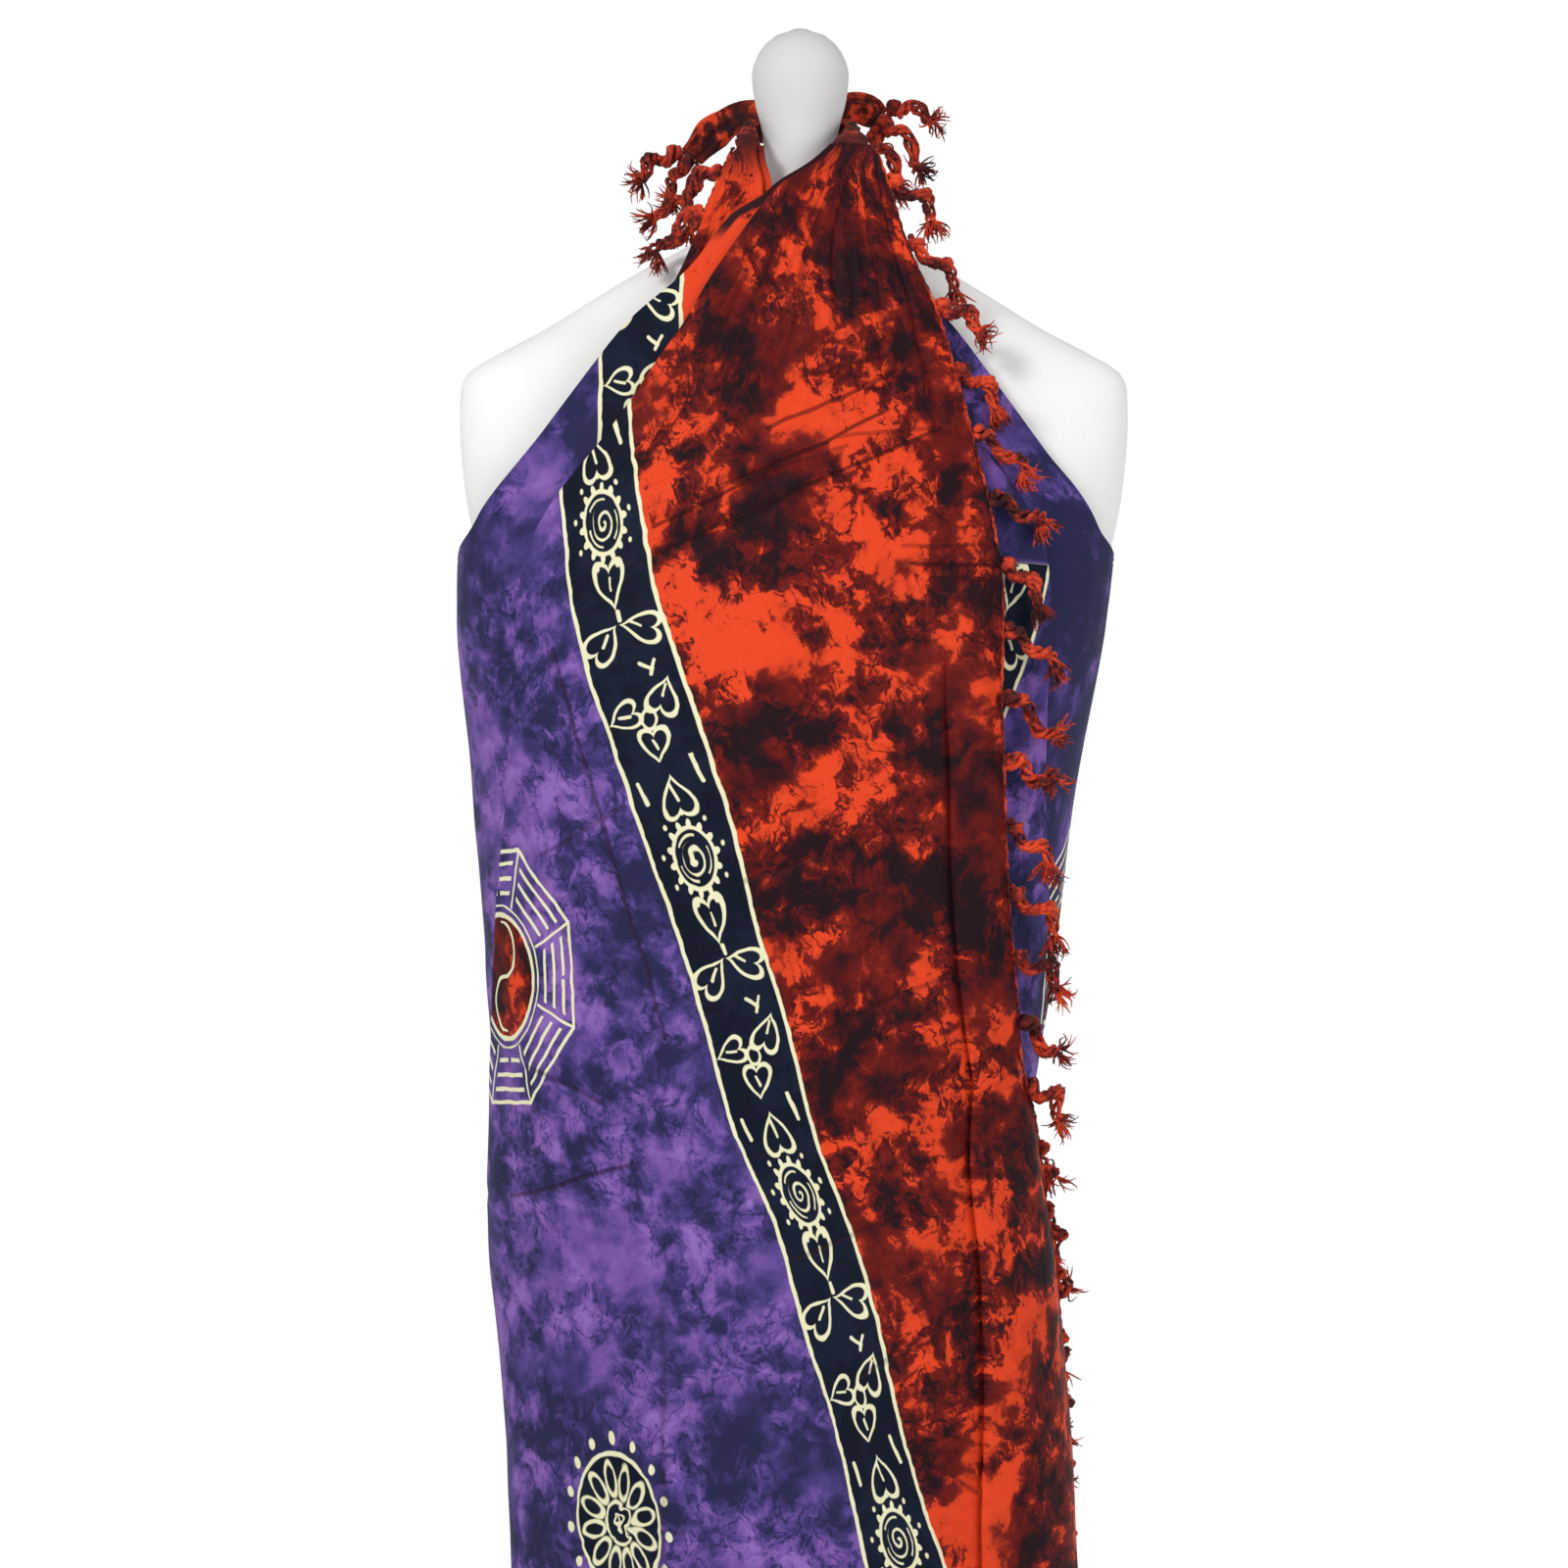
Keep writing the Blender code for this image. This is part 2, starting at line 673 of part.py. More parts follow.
def band_rings(side, thick, lift):
    """Rings of a gathered band: wide along the panel's top, a rope round the neck."""
    low = wrap_point(side * (path("fringe", TOP_HEIGHT) + 1.0), TOP_HEIGHT, lift)
    high = wrap_point(side * (path("fold", TOP_HEIGHT, side) - 1.0), TOP_HEIGHT, lift)
    foot = 0.5 * (low + high) + Vector((0.0, 0.0, BAND_GAP))
    chord = high - low
    corners = [foot]
    for x, y, z in BAND_CORNERS:
        corners.append(Vector((KNOB_SHIFT + side * x, y, z)))
    points = smooth_path(corners, 4)
    rings = []
    last = len(points) - 1
    for n, point in enumerate(points):
        share = n / last
        round_off = ease(0.0, 0.30, share)
        along = (points[min(last, n + 1)] - points[max(0, n - 1)]).normalized()
        along = along.lerp(Vector((0.0, 0.0, 1.0)), 1.0 - ease(0.0, 0.30, share)).normalized()
        wide = chord - along * chord.dot(along)
        wide = wide.normalized().lerp(Vector((0.0, 0.0, 1.0)), ease(0.15, 0.40, share))
        wide = (wide - along * wide.dot(along)).normalized()
        deep = along.cross(wide).normalized()
        half = 0.5 * chord.length * (1.0 - round_off) + BAND_ROPE[0] * round_off
        depth = 0.5 * thick * (1.0 - round_off) + BAND_ROPE[1] * round_off
        ring = []
        for k in range(12):
            turn = 2 * math.pi * k / 12
            crimp = 1.0 + 0.10 * math.cos(3 * turn + 9.0 * share)
            ring.append(
                point
                + wide * (half * math.cos(turn))
                + deep * (depth * crimp * math.sin(turn))
            )
        rings.append(ring)
    return rings


def neck_bands():
    """The two gathered bands that pass round the neck, and the knot that joins them."""
    place("neck_band_right", loft(band_rings(1.0, 0.0085, 0.0102)), "orange_dye", 70.0)
    place("neck_band_left", loft(band_rings(-1.0, 0.0075, 0.0022)), "orange_dye", 70.0)
    points = []
    for share in (-1.0, -0.86, -0.5, 0.0, 0.5, 0.86, 1.0):
        points.append(Vector((KNOB_SHIFT + KNOT_HALF * share, KNOT_BACK, KNOT_HEIGHT)))
    radii = [0.0058, 0.0096, 0.0120, 0.0110, 0.0120, 0.0096, 0.0058]
    place("nape_knot", loft(tube_rings(points, radii, 10)), "orange_dye", 70.0)


def loose_ends():
    """The two corners of the cloth beyond the knot, each a gathered flap."""
    for name, corners in LOOSE_ENDS.items():
        points = smooth_path([Vector(corner) for corner in corners], 3)
        rings = []
        last = len(points) - 1
        for n, point in enumerate(points):
            at = n / last * (len(LOOSE_HALF_WIDTHS) - 1)
            k = min(int(at), len(LOOSE_HALF_WIDTHS) - 2)
            step = LOOSE_HALF_WIDTHS[k + 1] - LOOSE_HALF_WIDTHS[k]
            half = LOOSE_HALF_WIDTHS[k] + step * (at - k)
            along = (points[min(last, n + 1)] - points[max(0, n - 1)]).normalized()
            wide = Vector((0.0, 0.35, 1.0))
            wide = (wide - along * wide.dot(along)).normalized()
            deep = along.cross(wide)
            ring = []
            for m in range(10):
                turn = 2 * math.pi * m / 10
                pucker = 1.0 + 0.25 * math.cos(3 * turn + 2.0 * n / last)
                ring.append(
                    point
                    + wide * (half * math.cos(turn))
                    + deep * (LOOSE_HALF_THICK * pucker * math.sin(turn))
                )
            rings.append(ring)
        place(name, loft(rings), "orange_dye", 70.0)


def lock_rings(root, direction, fall, length, swing):
    """One tassel: a knot at the root, a twisted cord and a frayed end."""
    radii = (0.55, 1.25, 0.80, 1.05, 0.75, 1.15, 0.45)
    shares = (0.0, 0.10, 0.26, 0.45, 0.64, 0.84, 1.0)
    points = []
    for share in shares:
        out = direction * (length * share * (1.0 - 0.35 * share * fall))
        drop = Vector((0.0, 0.0, -1.0)) * (length * fall * share**1.5)
        sway = Vector((0.0, 0.0, 1.0)) * (0.004 * math.sin(5.2 * share + swing))
        start = Vector((0.0, 0.0, 0.004 * math.sin(swing)))
        points.append(root + out + drop + sway - start)
    return tube_rings(points, [LOCK_RADIUS * r for r in radii], LOCK_SIDES)


def fringe_edge(side, layer, height):
    """A point on a panel's fringed edge and the way out from it."""
    angle = side * path("fringe", height)
    lift = layer
    if side > 0:
        lift += 0.3 * read(PLEAT_PATH, PLEAT_COLUMNS, "rise", height)
    here = wrap_point(angle, height, lift)
    beyond = wrap_point(angle - side * 2.0, height, lift)
    return here, (beyond - here).normalized()


def add_locks(name, strip, roots):
    """Fuses a tassel to a backing strip at each root, given with the way it points."""
    locks = bmesh.new()
    for k, (root, direction) in enumerate(roots):
        fall = 0.35 + 0.2 * math.sin(2.3 * k)
        length = TASSEL_LENGTH * (1.0 + 0.12 * math.sin(1.7 * k + 0.5))
        rings = lock_rings(root, direction, fall, length, 2.1 * k)
        loops = [[locks.verts.new(point) for point in ring] for ring in rings]
        for low, high in zip(loops, loops[1:]):
            for n in range(LOCK_SIDES):
                m = (n + 1) % LOCK_SIDES
                locks.faces.new((low[n], low[m], high[m], high[n]))
        locks.faces.new(loops[0][::-1])
        locks.faces.new(loops[-1])
    cutter = place(name + "_locks", locks, "fringe_yarn")
    cutter.hide_render = True
    cutter.display_type = "WIRE"
    joined = strip.modifiers.new("tassels", "BOOLEAN")
    joined.operation = "UNION"
    joined.solver = "EXACT"
    joined.object = cutter


def panel_fringe(name, side, layer, top, bottom, lean):
    """A narrow strip along a fringed edge with its tassels fused to it."""
    steps = 2 * max(2, int((top - bottom) / TASSEL_SPACING))
    rows = []
    roots = []
    for n in range(steps + 1):
        here, out = fringe_edge(side, layer, top + (bottom - top) * n / steps)
        rows.append([here + out * FRINGE_GAP, here + out * (FRINGE_GAP + FRINGE_STRIP_WIDTH)])
        if n % 2:
            away = Vector((out.y, -out.x, 0.0)) * side
            direction = (out + away * lean + Vector((0.0, 0.0, -0.35))).normalized()
            roots.append((here + out * (FRINGE_GAP + 0.55 * FRINGE_STRIP_WIDTH), direction))
    strip = lay_cloth(name, rows, "fringe_yarn")
    add_locks(name, strip, roots)


def end_fringe(name, flap):
    """The tassels on the edge of a loose end, on a short strip beyond it."""
    last = Vector(LOOSE_ENDS[flap][-1])
    out = (last - Vector(LOOSE_ENDS[flap][-2])).normalized()
    wide = Vector((0.0, 0.35, 1.0))
    wide = (wide - out * wide.dot(out)).normalized()
    half = LOOSE_HALF_WIDTHS[-1] + 0.003
    near = FRINGE_GAP
    rows = []
    for share in (-1.0, -0.33, 0.33, 1.0):
        row_start = last + wide * (half * share) + out * near
        rows.append([row_start, row_start + out * FRINGE_STRIP_WIDTH])
    strip = lay_cloth(name, rows, "fringe_yarn")
    roots = []
    for share in (-0.8, 0.0, 0.8):
        root = last + wide * (half * share) + out * (near + 0.55 * FRINGE_STRIP_WIDTH)
        roots.append((root, (out + wide * (0.5 * share)).normalized()))
    add_locks(name, strip, roots)


def clear_scene():
    for made in list(bpy.data.objects):
        bpy.data.objects.remove(made)


def main():
    clear_scene()
    dress_form()
    stand()
    lay_cloth("front_panel", front_panel_rows(), "orange_dye")
    lay_cloth("under_panel", under_panel_rows(), "orange_dye")
    lay_cloth("left_wrap", side_wrap_rows(1.0, LAYER_LEFT_WRAP), "purple_dye")
    lay_cloth("right_wrap", side_wrap_rows(-1.0, LAYER_RIGHT_WRAP), "purple_dye")
    lay_cloth("back_wrap", back_rows(), "purple_dye")
    neck_bands()
    loose_ends()
    panel_fringe("fringe_upper", 1.0, LAYER_FRONT, 1.424, 1.150, 0.25)
    panel_fringe("fringe_middle", 1.0, LAYER_FRONT, 1.149, 0.840, 0.30)
    panel_fringe("fringe_lower", 1.0, LAYER_FRONT, 0.839, HEM_CORNER + 0.001, 0.05)
    panel_fringe("fringe_under", -1.0, LAYER_UNDER, 1.424, 1.372, 0.30)
    end_fringe("fringe_end_left", "loose_end_left")
    end_fringe("fringe_end_right", "loose_end_right")


main()
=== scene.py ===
"""The finished pieces of a batik sarong tied as a halter wrap on a limbless dress form.

Each operator lays a piece, or a group of like pieces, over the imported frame, in metres, with the
front of the wrap facing -Y. Angles round the form are in degrees, 0 at the front and positive
towards -X. A cloth's UV map is in metres on the cut: u from the fringed edge at one end towards the
other end, v down the cloth.
"""

import math

import bmesh
import bpy
import numpy as np
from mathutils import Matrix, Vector


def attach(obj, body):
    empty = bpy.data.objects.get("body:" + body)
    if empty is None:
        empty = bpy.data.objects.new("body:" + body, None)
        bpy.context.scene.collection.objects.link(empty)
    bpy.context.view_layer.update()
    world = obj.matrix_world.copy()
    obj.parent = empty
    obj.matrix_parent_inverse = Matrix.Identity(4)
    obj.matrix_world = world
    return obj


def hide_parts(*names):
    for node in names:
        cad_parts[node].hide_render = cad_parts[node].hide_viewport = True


bl_info = {
    "name": "Batik Halter Wrap",
    "version": (1, 0, 0),
    "blender": (4, 5, 0),
    "location": "3D View > Sidebar > Sarong",
    "description": "Dresses the frame of a halter-tied batik sarong on its dress form",
    "category": "Add Mesh",
}

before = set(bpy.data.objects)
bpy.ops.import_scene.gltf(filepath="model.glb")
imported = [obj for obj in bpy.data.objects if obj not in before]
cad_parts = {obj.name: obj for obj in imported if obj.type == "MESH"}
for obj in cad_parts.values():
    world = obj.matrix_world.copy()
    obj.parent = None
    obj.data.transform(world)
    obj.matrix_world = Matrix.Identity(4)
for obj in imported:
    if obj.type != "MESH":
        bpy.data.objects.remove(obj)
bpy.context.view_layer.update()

# The layers of cloth over the section below, in metres
LAYER_RIGHT_WRAP = 0.0
LAYER_UNDER = 0.0048
LAYER_LEFT_WRAP = 0.0092
LAYER_FRONT = 0.0140
FOLD_RETURN = 0.0022
FOLD_LIP = 0.010
FOLD_LIP_SHARE = 0.14
FOLD_ROUND = 0.55
FOLD_SET_BACK = 0.15
TUCK_DEGREES = 9.0
TOP_HEIGHT = 1.425
SIDE_TOP = 1.168
SIDE_SEAM_DEGREES = 100.0
HEM_BACK = 0.06
HEM_SIDE = 0.075
HEM_CORNER = 0.40
HEM_ROWS_START = 0.86
HEM_SWEEP = 1.35
TOP_TUCK = (0.0035, 0.0065)

# How the wrap lies on the cut: the ellipse it is measured on, and where its strips start
REFERENCE_WIDTH = 0.172
DEPTH_SHARE = 0.71
FIELD_ANGLE = 38.0
CUT_TOP = 1.40
PANEL_CUT_TOP = 1.45
STRIP_TAKE_UP = 1.08
STRIP_INNER = 0.066

# Cells of the finished sheets: flap, pleat and field, rows above and below, and the fold's lip
FRONT_CELLS = (22, 20, 100)
FRONT_ROWS = (190, 110)
UNDER_CELLS = 96
UNDER_ROWS = (130, 100)
LIP_CELLS = 8
SIDE_CELLS = 40
BACK_CELLS = 110

# Sections that the cloth lies on: height, half width, front depth, back depth, centre
WRAP_SECTIONS = (
    (1.470, 0.028, 0.030, 0.030, 0.004),
    (1.445, 0.034, 0.034, 0.030, 0.004),
    (1.430, 0.046, 0.038, 0.030, 0.003),
    (1.400, 0.068, 0.045, 0.036, 0.002),
    (1.360, 0.100, 0.058, 0.048, 0.000),
    (1.320, 0.140, 0.072, 0.062, 0.000),
    (1.284, 0.166, 0.085, 0.076, 0.000),
    (1.240, 0.187, 0.100, 0.092, 0.000),
    (1.200, 0.196, 0.112, 0.101, 0.000),
    (1.158, 0.195, 0.121, 0.106, -0.002),
    (1.040, 0.180, 0.128, 0.110, -0.0065),
    (0.920, 0.168, 0.127, 0.113, -0.010),
    (0.810, 0.156, 0.125, 0.116, -0.017),
    (0.740, 0.157, 0.125, 0.118, -0.013),
    (0.620, 0.157, 0.126, 0.120, -0.004),
    (0.400, 0.156, 0.128, 0.122, 0.000),
    (0.030, 0.162, 0.132, 0.126, 0.000),
)
HALF_WIDTH, FRONT_DEPTH, BACK_DEPTH, CENTRE = 1, 2, 3, 4

# Where a panel's fringed edge, long fold and upper edge lie: height, then the three angles
PANEL_PATHS = (
    (1.443, -50.0, -42.0, -38.0),
    (1.430, -46.0, -29.5, -24.5),
    (1.413, -43.5, -11.0, -6.0),
    (1.400, -42.0, 5.0, 9.5),
    (1.3935, -41.0, 9.0, 13.5),
    (1.380, -39.0, 14.0, 25.0),
    (1.344, -35.5, 21.5, 32.5),
    (1.315, -33.5, 24.0, 41.0),
    (1.290, -32.0, 27.5, 44.5),
    (1.249, -31.8, 33.5, 51.0),
    (1.206, -33.2, 43.0, 65.0),
    (1.190, -34.2, 46.5, 72.0),
    (1.176, -35.2, 48.5, 88.0),
    (1.168, -35.8, 49.5, 100.0),
    (1.096, -38.4, 54.0, 100.0),
    (1.038, -41.9, 58.5, 100.0),
    (0.980, -45.0, 64.5, 100.0),
    (0.920, -50.0, 71.0, 100.0),
    (0.862, -59.0, 78.0, 100.0),
    (0.812, -75.0, 82.0, 100.0),
    (0.740, -88.0, 85.0, 100.0),
    (0.600, -96.0, 86.0, 100.0),
    (0.030, -108.0, 88.0, 100.0),
)
FRINGE, FOLD, EDGE = 1, 2, 3

# How much further round the fold and upper edge of the under panel lie than the front panel's
UNDER_SHIFT = (
    (1.443, -2.0),
    (1.430, -4.0),
    (1.413, -13.0),
    (1.3935, -25.0),
    (1.380, -12.0),
    (1.360, 0.0),
)

# The pleat beside the fringed edge: height, angle, depth, rise
PLEAT_PATH = (
    (1.200, -31.0, 0.0, 0.0),
    (1.150, -33.0, 0.0, 0.0032),
    (1.100, -34.5, 0.3, 0.0054),
    (1.038, -36.8, 2.4, 0.0060),
    (0.980, -38.3, 3.2, 0.0062),
    (0.864, -42.5, 5.6, 0.0064),
    (0.748, -44.6, 9.0, 0.0066),
    (0.575, -40.5, 10.0, 0.0068),
    (0.030, -40.0, 10.0, 0.0070),
)
PLEAT_ANGLE, PLEAT_DEPTH, PLEAT_RISE = 1, 2, 3
PLEAT_FULL_DEPTH = 2.4
PLEAT_SHAPE = (
    (0.00, 0.00, 1.00),
    (0.60, 0.15, 1.00),
    (0.94, 0.25, 0.97),
    (1.00, 0.30, 0.75),
    (0.94, 0.35, 0.53),
    (0.00, 0.50, 0.50),
    (-0.94, 0.65, 0.47),
    (-1.00, 0.70, 0.25),
    (-0.94, 0.75, 0.03),
    (-0.60, 0.85, 0.00),
)
PLEAT_HEM_SHARE = 0.31
PLEAT_HEM_WIDTH = 0.02

# The largest soft folds: angle at the top and at the hem, height, half width, start, full
SOFT_FOLDS = (
    (112.0, 116.0, 0.007, 10.0, 1.160, 0.800),
    (132.0, 138.0, -0.008, 10.0, 1.150, 0.760),
    (152.0, 158.0, 0.009, 11.0, 1.150, 0.700),
    (174.0, 180.0, -0.007, 10.0, 1.140, 0.760),
    (196.0, 203.0, 0.009, 11.0, 1.150, 0.720),
    (219.0, 224.0, -0.008, 10.0, 1.150, 0.760),
    (241.0, 246.0, 0.007, 10.0, 1.160, 0.800),
    (12.0, -14.0, 0.004, 14.0, 1.000, 0.500),
    (40.0, 30.0, -0.005, 12.0, 0.950, 0.450),
)
GATHER_COUNT = 6
GATHER_HEIGHT = 0.0026
GATHER_SLOPE = 0.014
GATHER_FADE = (1.250, 1.400)
PUCKER_HEIGHT = 0.0011
PUCKER_SLOPE = 0.008

# How far the cloth's uneven lie stands out: long folds, dents and wrinkles
LONG_FOLD_RISE = 0.0016
DENT_RISE = 0.0010
WRINKLE_RISE = 0.00045

# The dress form: height, half width, half depth, middle
FORM_SECTIONS = (
    (0.690, 0.062, 0.048, 0.000),
    (0.694, 0.104, 0.080, 0.000),
    (0.712, 0.121, 0.095, 0.000),
    (0.760, 0.127, 0.101, 0.000),
    (0.810, 0.122, 0.098, -0.001),
    (0.880, 0.112, 0.091, -0.003),
    (0.950, 0.110, 0.090, -0.004),
    (1.020, 0.122, 0.098, -0.006),
    (1.085, 0.140, 0.105, -0.007),
    (1.125, 0.150, 0.103, -0.006),
    (1.143, 0.160, 0.095, -0.004),
    (1.156, 0.177, 0.086, -0.003),
    (1.168, 0.188, 0.077, -0.002),
    (1.190, 0.196, 0.071, 0.001),
    (1.225, 0.202, 0.067, 0.000),
    (1.262, 0.2045, 0.057, 0.001),
    (1.280, 0.204, 0.051, 0.002),
    (1.290, 0.199, 0.047, 0.003),
    (1.300, 0.183, 0.044, 0.003),
    (1.316, 0.153, 0.041, 0.004),
    (1.334, 0.124, 0.039, 0.004),
    (1.352, 0.094, 0.037, 0.004),
    (1.368, 0.064, 0.034, 0.004),
    (1.382, 0.043, 0.030, 0.003),
    (1.396, 0.027, 0.024, 0.002),
    (1.412, 0.0203, 0.0203, 0.001),
    (1.440, 0.0240, 0.0235, 0.000),
    (1.457, 0.0282, 0.0275, 0.000),
    (1.472, 0.0297, 0.0290, 0.000),
    (1.486, 0.0250, 0.0245, 0.000),
    (1.496, 0.0150, 0.0150, 0.000),
    (1.500, 0.0040, 0.0040, 0.000),
)
KNOB_SHIFT = 0.004
FORM_STEP = 0.0045
FORM_ROUND = 120

# The bands round the neck, the knot, and the loose ends
BAND_TUCK = 0.0035
BAND_ROPE = (0.0070, 0.0042)
BAND_CORNERS = (
    (0.0330, -0.0150, 1.4335),
    (0.0295, 0.0060, 1.4380),
    (0.0215, 0.0198, 1.4400),
    (0.0146, 0.0291, 1.4400),
)
KNOT_HEIGHT = 1.440
KNOT_BACK = 0.0356
KNOT_HALF = 0.0120
KNOT_RADII = (0.0058, 0.0096, 0.0120, 0.0110, 0.0120, 0.0096, 0.0058)
LOOSE_ENDS = {
    "left": (
        (-0.0050, 0.0446, 1.4497),
        (-0.0250, 0.0510, 1.4550),
        (-0.0460, 0.0500, 1.4460),
        (-0.0630, 0.0400, 1.4270),
    ),
    "right": (
        (0.0130, 0.0440, 1.4490),
        (0.0270, 0.0500, 1.4570),
        (0.0420, 0.0500, 1.4580),
        (0.0520, 0.0440, 1.4520),
    ),
}
LOOSE_HALF_WIDTHS = (0.0045, 0.0085, 0.0105, 0.0110, 0.0080)
LOOSE_HALF_THICK = 0.0028
KNOT_STEPS = 40
KNOT_ROUND = 48
KNOT_TURN_RADIUS = 0.0104
KNOT_TURN_DEEP = 0.0019
KNOT_TURN_HALF = 0.0036
KNOT_TURN_ROUND = 14
BAND_ROUND = 56
LOOSE_ROUND = 52
FLAP_WAY = (0.0, 0.35, 1.0)

# The fringe
FRINGE_GAP = 0.0010
FRINGE_STRIP_WIDTH = 0.0026
TASSEL_SPACING = 0.037
TASSEL_LENGTH = 0.042
TASSEL_STEPS = 30
PLIES = 4
PLY_STEPS = 25
HAIRS = 11
HAIR_RADII = (0.00066, 0.00064, 0.00054, 0.00040, 0.00020)
LOOPS = 6
LOOP_STEPS = 7
LOOP_RADIUS = 0.0006
EDGE_YARN_RADIUS = 0.0008
FRINGES = (
    ("fringe_upper", 1.0, LAYER_FRONT, 1.424, 1.150, 0.25),
    ("fringe_middle", 1.0, LAYER_FRONT, 1.149, 0.840, 0.30),
    ("fringe_lower", 1.0, LAYER_FRONT, 0.839, HEM_CORNER + 0.001, 0.05),
    ("fringe_under", -1.0, LAYER_UNDER, 1.424, 1.372, 0.30),
)

# The stand
BASE_RADIUS = 0.150
BASE_THICK = 0.014
POLE_RADIUS = 0.0125
HUB_RADIUS = 0.024
HUB_TOP = 0.052
COLLAR_RADIUS = 0.034
COLLAR_THICK = 0.016
FORM_BOTTOM = 0.690
REST_GAP = 0.0003

# The stage
CAMERA_PLACE = (-0.006, -3.2, 1.038)
FILL_SHARE = 0.62
FLOOR_DROP = 0.0006
HORIZON_BAND = (0.17, 0.34)

# The waxed band on the front panel: height and the angle of each of its edges
BAND_RIGHT = (
    (1.425, 39.0),
    (1.400, 55.0),
    (1.360, 46.6),
    (1.320, 35.5),
    (1.274, 31.3),
    (1.212, 25.9),
    (1.153, 22.0),
    (1.124, 19.1),
    (1.067, 13.5),
    (1.009, 7.9),
    (0.952, 3.5),
    (0.895, -2.9),
    (0.837, -9.3),
    (0.780, -16.5),
    (0.722, -21.0),
    (0.664, -23.7),
    (0.606, -28.8),
    (0.576, -33.0),
    (0.450, -42.0),
    (0.300, -52.0),
    (0.050, -68.0),
)
BAND_LEFT = (
    (1.425, 80.0),
    (1.300, 56.0),
    (1.240, 45.0),
    (1.213, 41.9),
    (1.154, 39.1),
    (1.107, 35.9),
    (1.061, 31.3),
    (1.009, 25.8),
    (0.952, 19.2),
    (0.895, 13.3),
    (0.838, 7.0),
    (0.780, -1.2),
    (0.723, -5.0),
    (0.666, -9.5),
    (0.608, -13.0),
    (0.450, -24.0),
    (0.300, -34.0),
    (0.050, -50.0),
)
NECK_PRESS = ((1.425, 2.6), (1.400, 2.0), (1.360, 1.5), (1.300, 1.15), (1.200, 1.0))
BAND_START, BAND_END = 0.235, 0.290
BAND_TILT = 16.5
BAND_REPEAT = 0.2085
MOTIF_START = 0.0605
BAND_HALF_MM = 26.0
BAND_LINE_MM = 1.25
WAX_BLEND_MM = 1.3
PANEL_SUN_AT = 0.214
PANEL_TAKE_UP = 0.96

# The medallions, in millimetres: half the octagon's width, its disc, and the wheel's half sizes
OCTAGON_MM = 77.0
OCTAGON_DISC_MM = 37.0
OCTAGON_BAR_MM = 9.0
OCTAGON_CORNER = 0.4142
OCTAGON_SQUASH = 1.30
WHEEL_MM = (28.0, 43.0)

# Tension creases: start and end across and up, depth and width, in metres
CREASES = (
    (0.0046, 1.2805, 0.0560, 1.2932, 0.0012, 0.0050),
    (-0.0156, 1.2477, 0.0560, 1.2805, 0.0015, 0.0055),
    (-0.0818, 1.1890, 0.0560, 1.2603, 0.0017, 0.0050),
    (-0.0803, 1.1740, 0.0864, 1.2490, 0.0016, 0.0050),
    (0.0230, 1.2655, 0.0700, 1.2880, 0.0010, 0.0050),
    (0.0230, 1.2436, 0.0852, 1.2494, 0.0010, 0.0055),
    (-0.0500, 1.2120, 0.0300, 1.2380, 0.0010, 0.0060),
    (0.0690, 1.1676, 0.1210, 1.1676, 0.0016, 0.0050),
    (0.0800, 1.1600, 0.1180, 1.1585, 0.0010, 0.0045),
    (0.0650, 1.1780, 0.1120, 1.1810, 0.0009, 0.0050),
    (0.0900, 1.1480, 0.1200, 1.1430, 0.0008, 0.0050),
    (-0.1434, 1.1175, -0.0755, 0.8882, 0.0012, 0.0060),
    (-0.1688, 0.7903, -0.0962, 0.8139, 0.0013, 0.0060),
    (-0.0772, 0.7293, -0.0772, 0.4200, 0.0007, 0.0090),
    (0.0691, 0.6465, 0.1094, 0.6177, 0.0012, 0.0060),
    (0.1065, 0.8882, 0.1325, 0.8652, 0.0012, 0.0060),
    (-0.0300, 0.9800, 0.0600, 1.0100, 0.0008, 0.0080),
    (0.0100, 0.8900, 0.0900, 0.9250, 0.0009, 0.0080),
    (-0.1500, 0.9950, -0.1000, 1.0250, 0.0009, 0.0070),
    (-0.1600, 0.8700, -0.1150, 0.8500, 0.0009, 0.0070),
    (0.0000, 0.7600, 0.0700, 0.7850, 0.0008, 0.0080),
    (0.0400, 0.6900, 0.0900, 0.7200, 0.0009, 0.0080),
)
DEEPEST_CREASE = 0.0017
CREASE_WAVER = 0.0008
CREASE_RUN_OUT = 0.014
CREASE_FULL = 0.010
# How dark the painted shade in a crease's sharp line is
CREASE_PAINTED_SHADE = 0.75
